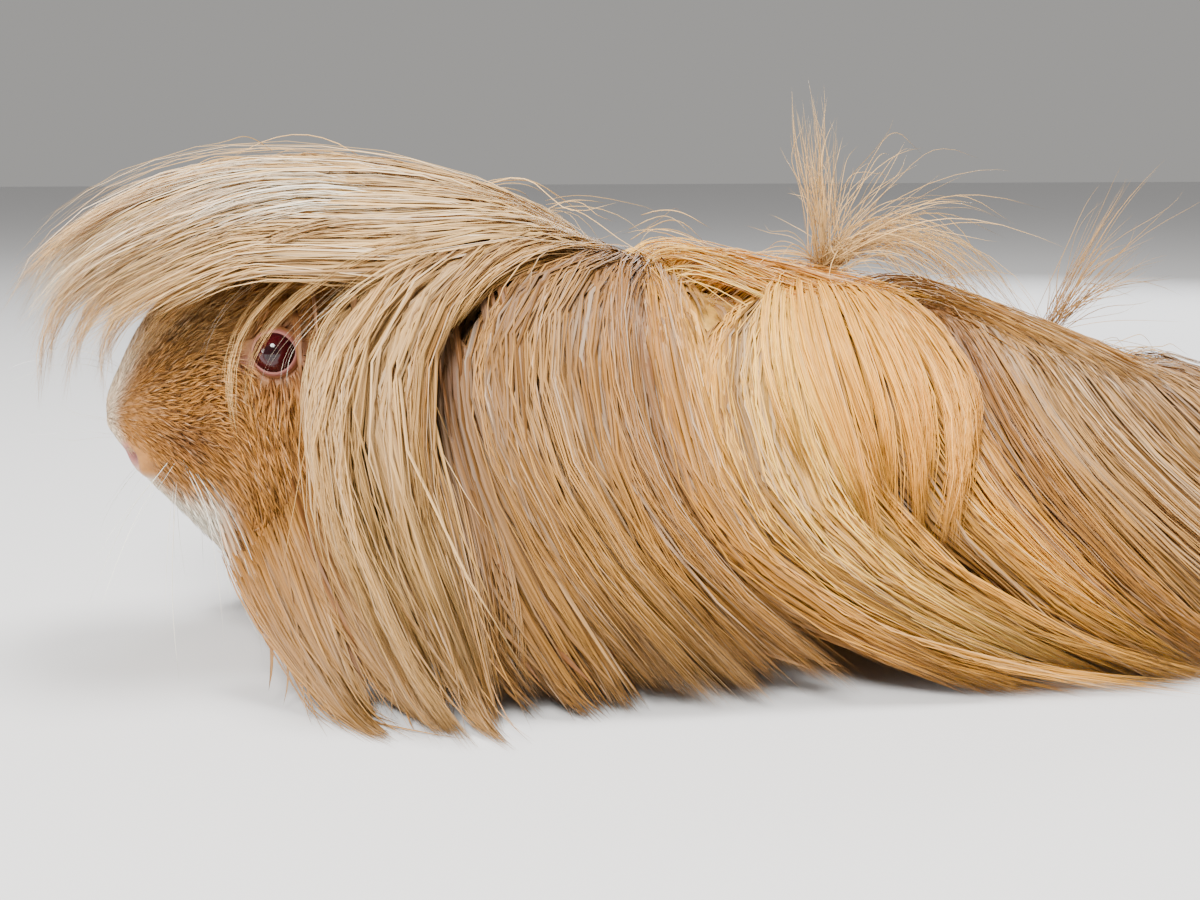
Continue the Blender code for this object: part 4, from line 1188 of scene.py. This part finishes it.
def make_light():
    world = bpy.data.worlds.new("studio")
    world.use_nodes = True
    world.node_tree.nodes["Background"].inputs["Color"].default_value = (1, 0.98, 0.95, 1)
    world.node_tree.nodes["Background"].inputs["Strength"].default_value = 0.38
    bpy.context.scene.world = world
    middle = (0, 0, 0.05)
    add_light("key", (-0.45, -0.8, 0.8), middle, 0.4, 28, (1, 0.98, 0.94))
    add_light("top", (0.1, -0.05, 1.2), middle, 0.5, 21, (1, 0.98, 0.95))
    add_light("fill", (-0.9, -0.25, 0.22), (-0.1, 0, 0.05), 0.3, 5, (1, 0.98, 0.95))
    add_light("rim", (0.6, 0.8, 0.5), middle, 0.5, 8, (0.96, 0.98, 1))


def make_camera():
    """A 50 mm view of the left side, a little from the front and above."""
    data = bpy.data.cameras.new("camera")
    data.lens = 50
    data.sensor_width = 36
    camera = add_object("camera", data)
    target = Vector(to_row((0, 0, 41)))
    swing, rise, distance = math.radians(14), math.radians(10), 0.385
    back = Vector((-math.sin(swing) * math.cos(rise), -math.cos(swing) * math.cos(rise), math.sin(rise)))
    camera.location = target + distance * back
    camera.rotation_mode = "QUATERNION"
    camera.rotation_quaternion = (-back).to_track_quat("-Z", "Y")
    data.clip_start = 0.01
    bpy.context.scene.camera = camera


# Making it all.

def sided(side, *guides):
    """Guide lines drawn on the left side, for either side."""
    return [line_through(*[(x, -side * y, z) for x, y, z in points]) for points in guides]


def fringe_locks(side, seed):
    """The loose points of the forelock, and the thin locks that fall past the eye."""
    front = sided(
        side,
        ((-34, -4, 96), (-60, -6, 104), (-80, -7, 105), (-97, -8, 101), (-109.2, -8, 95.6), (-120.5, -8, 88),
         (-126.4, -8, 82.4), (-128.4, -8, 75)),
    )
    middle = sided(
        side,
        ((-34, -9, 94), (-58, -12, 101), (-80, -13, 101), (-98, -14, 94), (-112, -14, 84), (-119, -14, 77),
         (-122, -14, 68), (-121.4, -14, 56)),
        ((-36, -15, 92), (-58, -18, 97), (-77, -20, 95), (-91, -20, 89), (-101, -20, 80), (-108.4, -20, 72),
         (-110.5, -20, 64), (-108.2, -20, 57)),
        ((-35, -12, 93), (-58, -15, 99), (-79, -17, 98), (-95, -17, 91), (-107, -17, 81), (-114, -17, 73),
         (-117, -17, 65), (-116, -17, 57)),
    )
    under = sided(
        side,
        ((-36, -20, 89), (-54, -25, 94), (-70, -26, 92), (-82, -24, 86), (-92, -23, 79), (-101, -22, 71),
         (-105, -22, 63)),
        ((-36, -16, 91), (-54, -21, 95), (-70, -23, 93), (-84, -22, 88), (-96, -21, 81), (-103, -20, 74)),
    )
    thin = sided(
        side,
        ((-46, -31, 93), (-62, -29, 89), (-75, -27, 81), (-82, -26, 72), (-84, -27, 61), (-82, -30, 47)),
        ((-45, -32, 92), (-59, -31, 87), (-70, -30, 80), (-78, -29, 71), (-81, -28, 60), (-79, -31, 52)),
        ((-42, -34, 90), (-54, -34, 85), (-63, -33, 78), (-68, -33, 68), (-69, -36, 56), (-67, -40, 44)),
    )
    single = sided(
        side,
        ((-56, -27, 92), (-70, -25, 88), (-80, -24, 82), (-87, -24, 74), (-90, -24, 64)),
        ((-46, -32, 91), (-60, -31, 84), (-70, -30, 75), (-77, -29, 65), (-78, -30, 55)),
        ((-46, -34, 88), (-58, -33, 82), (-67, -32, 75), (-73, -31, 67), (-74, -33, 58)),
    )
    # Golden tips and the under locks' cream are darkened: painted shade low on the forelock's front.
    pale, gold = mixed(CREAM, WHITE, 0.9), mixed(CREAM, GOLD, 0.5) * 0.85
    shaded_cream = mixed(CREAM, WHITE, 0.2) * 0.8
    loose = {"short": 0.6, "curl": 0.9}
    return joined(
        guided_hair(front, 130, seed, (4, 0.7), (pale, gold), swell=3, **loose),
        guided_hair(middle, 230, seed + 3, (4.5, 1.5), (pale, gold), swell=8, **loose),
        guided_hair(under, 150, seed + 5, (3, 1.0), (shaded_cream, gold), swell=6, **loose),
        guided_hair(thin, 22, seed + 1, (2.4, 1.0), (CREAM, CREAM), width=(0.14, 0.24), curl=0.9),
        guided_hair(single, 3, seed + 2, (1.5, 1.2), (CREAM, pale), width=(0.14, 0.22)),
    )


def spray(root, ways, colours, seed):
    """Loose hair thrown up from one place. Each way is its count, heading, rise, spread, length and
    droop, in degrees and millimetres."""
    rng = np.random.default_rng(seed)
    share = SHARE[..., None]
    parts = []
    for count, heading, rise, spread, length, droop in ways:
        turn = np.radians(heading + rng.normal(0, spread * 1.6, count))
        lift = np.radians(rise + rng.normal(0, spread, count))
        way = np.stack([np.cos(lift) * np.cos(turn), np.cos(lift) * np.sin(turn), np.sin(lift)], axis=-1)
        far = rng.uniform(0.5, 1.1, count)[:, None, None]
        path = np.array(root) + rng.normal(0, 1.4, (count, 1, 3)) + way[:, None] * far * length * share
        path = path - np.array((0, 0, droop)) * far * share**2
        for _ in range(2):
            curl = rng.normal(0, 1, (count, 1, 3)) * rng.uniform(0.5, 3.5, (count, 1, 1)) * share**2
            path = path + curl * np.sin(share * rng.uniform(2, 8, (count, 1, 1)))
        path, out = evenly(path, np.broadcast_to((0.1, -1.0, 0.2), path.shape), 9, rng)
        tone = np.clip(1 + rng.normal(0, 0.12, count), 0.6, 1.3)[:, None]
        parts.append({
            "path": path, "out": out, "width": rng.uniform(0.13, 0.26, count),
            "root": rng.uniform(0, 0.97, (count, 2)), "root_colour": np.minimum(colours[0] * tone, 0.9),
            "tip_colour": np.minimum(colours[1] * tone, 0.92), "spin": rng.normal(0, 0.3, count),
        })
    return joined(*parts)


def make_wisps(material):
    """The hair that stands up from the two whorls of the back."""
    back = spray((54, 0, 82), (
        (70, 180, 84, 5, 40, 2), (110, 3, 44, 7, 68, 60), (30, 0, 50, 12, 66, 30), (20, 180, 28, 14, 34, 18),
        (16, -80, 45, 14, 34, 26), (16, 80, 45, 14, 34, 26), (26, 0, 68, 12, 40, 8),
    ), (mixed(CREAM, TAN, 0.3), CREAM), 900)
    for x, heading in ((-70, 180), (-50, 180), (-30, 0), (-12, 0), (8, 0), (30, 180), (80, 0), (130, 0)):
        place = (x, 0, coat_top(x) - 3)
        back = joined(back, spray(place, ((7, heading, 24, 12, 32, 18),), (CREAM, CREAM), 910 + x))
    strand_piece("hair_wisp_back", back, material, ("tuft_back",))
    rump = spray((113, 0, 66), (
        (26, 0, 63, 5, 54, 8), (22, 4, 52, 6, 46, 9), (18, -4, 42, 7, 42, 14), (10, 180, 70, 20, 24, 8),
    ), (BEIGE, mixed(BEIGE, CREAM, 0.5)), 901)
    strand_piece("hair_wisp_rump", rump, material, ("tuft_rump",))


def whiskers(side, seed):
    guides = sided(
        side,
        ((-94, -14, 47), (-99, -18, 41), (-105, -24, 34), (-112, -30, 23)),
        ((-94, -15, 47), (-90, -20, 40), (-88, -28, 28), (-87, -40, 3)),
        ((-93.5, -15, 46), (-87, -22, 38), (-82, -30, 26), (-80, -42, 3)),
        ((-94, -15, 45), (-87, -26, 28), (-80, -38, 10), (-66, -50, 2)),
        ((-106, -6, 63), (-111, -9, 66), (-117, -12, 66.5), (-127, -20, 64.8)),
        ((-106, -8, 50), (-111, -12, 51), (-116, -16, 51.6), (-122, -24, 53.5)),
        ((-95, -14, 41), (-96, -22, 34), (-97, -31, 20), (-96, -40, 3)),
        ((-98, -12, 42), (-103, -20, 37), (-108, -30, 28), (-113, -42, 16)),
    )
    return guided_hair(guides, 2, seed, (1.0, 3.0), (WHITE, WHITE), width=(0.1, 0.15), steps=10,
                       short=0.7, curl=0.6)


def ruff_hair(side, seed):
    """The ruff round the neck: its own locks, the deep hair behind them, and what closes its rear,
    darkened there as painted shade.
    """
    locks = {
        "slopes": (0.56, 0.84), "tip_gold": 0.15, "rise": (14, 34), "ginger": 0.8, "lower": 0.17,
        "spacing": 13, "gather": 0.8,
    }
    return joined(
        side_hair(side, (-96, -46), 750, seed + 7, FRONT_WHORL, end=1.0, layers=(0.8, 1.0), under=0.3,
                  loose=0.12, **locks),
        side_hair(side, (-94, -46), 700, seed + 8, FRONT_WHORL, layers=(0.3, 0.95), under=0.15, fine=BROAD,
                  **locks),
        # Dark hair between the ruff and the shoulder: painted shade in the gap.
        side_hair(side, (-52, -32), 260, seed + 12, FRONT_WHORL, slopes=(0.3, 0.75), end=0.97,
                  layers=(0.15, 0.6), under=0.1, fine=(0.8, 1.4), shade=-0.3),
        side_hair(side, (-49, -38), 200, seed + 14, FRONT_WHORL, slopes=(0.03, 0.2), end=0.43,
                  layers=(0.7, 1.0)),
        # Its lower hair is darker: painted shade under the ruff.
        side_hair(side, (-49, -38), 160, seed + 15, FRONT_WHORL, slopes=(0.5, 0.68), end=0.95,
                  layers=(0.6, 0.95), rise=(8, 20), shade=-0.1),
    )


def head_coat(name, side, seed):
    """The coat of one side's head, neck and back, as rows of piece, slot, hair and nodes."""
    forelock = joined(
        forelock_hair(side, 850, seed + 1), fringe_locks(side, seed + 2),
        forelock_hair(side, 700, seed + 4, fine=BROAD, high=0.78),
    )
    cheek = side_hair(side, (-71, -46), 1000, seed + 5, FRONT_WHORL, end=0.86, spread=0.08,
                      layers=(0.85, 1.05))
    # The deep layer is darker: painted shade under the top hair.
    deep_cheek = side_hair(side, (-71, -46), 700, seed + 6, FRONT_WHORL, layers=(0.7, 1.02), fine=BROAD,
                           end=0.84, spread=0.08, steps=7, shade=-0.06)
    ruff = ruff_hair(side, seed)
    mop = mop_hair(side, 960, seed + 9)
    spine = joined(spine_hair(side, (4, 36), 220, seed + 60), spine_hair(side, (58, 112), 280, seed + 61))
    return (
        ("hair_forelock", "coat_cream", forelock, ("forelock", "fringe") if side < 0 else ()),
        ("hair_cheek", "coat_cream", cheek, (f"lock_cheek_{name}",)),
        ("hair_deep_cheek", "coat_cream", deep_cheek, ()),
        ("hair_ruff", "coat_cream", ruff, ()),
        ("hair_mop", "coat_gold", mop, (f"lock_flank_{name}",)),
        ("hair_spine", "coat_gold", spine, ()),
        ("hair_under", "coat_tan", undercoat(side, (-72, 200), 600, seed + 62), ()),
    )


def side_coat(name, side, seed):
    """The long coat of one side from the shoulder to the train, in the same rows."""
    rows = []
    for part, reach, whorl, count, slot, nodes in (
        ("shoulder", (-40, 14), FRONT_WHORL, 1060, "coat_beige", (f"coat_shoulder_{name}",)),
        ("flank", (8, 72), BACK_WHORL, 900, "coat_gold", (f"coat_flank_{name}",)),
        ("haunch", (68, 128), RUMP_LIE, 800, "coat_tan", (f"coat_haunch_{name}",)),
        ("train", (124, 222), RUMP_LIE, 700, "coat_tan", (f"train_{name}",)),
    ):
        seed += 10
        if name == "left" and part == "train":
            nodes = (*nodes, "train_middle")
        top = side_hair(side, reach, count, seed, whorl)
        if part == "flank":
            # Darker hair filling the gap under the mop: painted shade.
            gap = side_hair(side, (6, 32), 150, seed + 2, whorl, slopes=(0.12, 0.42), end=0.7,
                            layers=(0.4, 0.75), under=0.2, fine=(0.5, 1.0), shade=-0.12)
            top = joined(top, gap)
        # The deep layer is darker: painted shade under the top hair.
        deep = side_hair(side, reach, count - 80, seed + 1, whorl, slopes=(0.03, 0.5), layers=(0.5, 0.97),
                         under=0.3, fine=BROAD, end=0.98, steps=7, shade=-0.1)
        rows += [(f"hair_{part}", slot, top, nodes), (f"hair_deep_{part}", slot, deep, ())]
    return rows


def low_coat(side, seed):
    """The short fur of one side, its underside and its whiskers, in the same rows."""
    face = face_hair(side, 9800, seed + 71)
    belly = joined(
        falling_hair(side, (-88, -58), (118, 182), (9, 20), 420, seed + 80),
        falling_hair(side, (-60, -30), (100, 182), (12, 22), 260, seed + 81, lean=(0.7, 0.3, -0.6)),
        falling_hair(side, (-30, 126), (95, 182), (10, 18), 460, seed + 82, lean=(0.9, 0.2, -0.35)),
    )
    return (
        ("fur_face", "face_fur", face, ()),
        ("hair_belly", "coat_cream", belly, ()),
        ("fur_feet", "face_fur", limb_hair(side, 330, seed + 83), ()),
        ("whiskers", "coat_cream", whiskers(side, seed + 73), ()),
    )


def make_coat():
    long_hair = hair_material("long_hair", 0.42)
    fur = hair_material("short_fur", 0.55)
    for name, side in SIDES:
        seed = 100 if side < 0 else 200
        rows = (*head_coat(name, side, seed), *side_coat(name, side, seed), *low_coat(side, seed))
        for piece, slot, hair, nodes in rows:
            material = fur if piece.startswith("fur") else long_hair
            strand_piece(f"{piece}_{name}", hair, material, nodes)
    make_wisps(long_hair)


make_floor()
make_light()
make_camera()
make_skin(skin_material())
make_claws(plain_material("claw", HORN, 0.35))
make_eyes(eye_material())
make_coat()
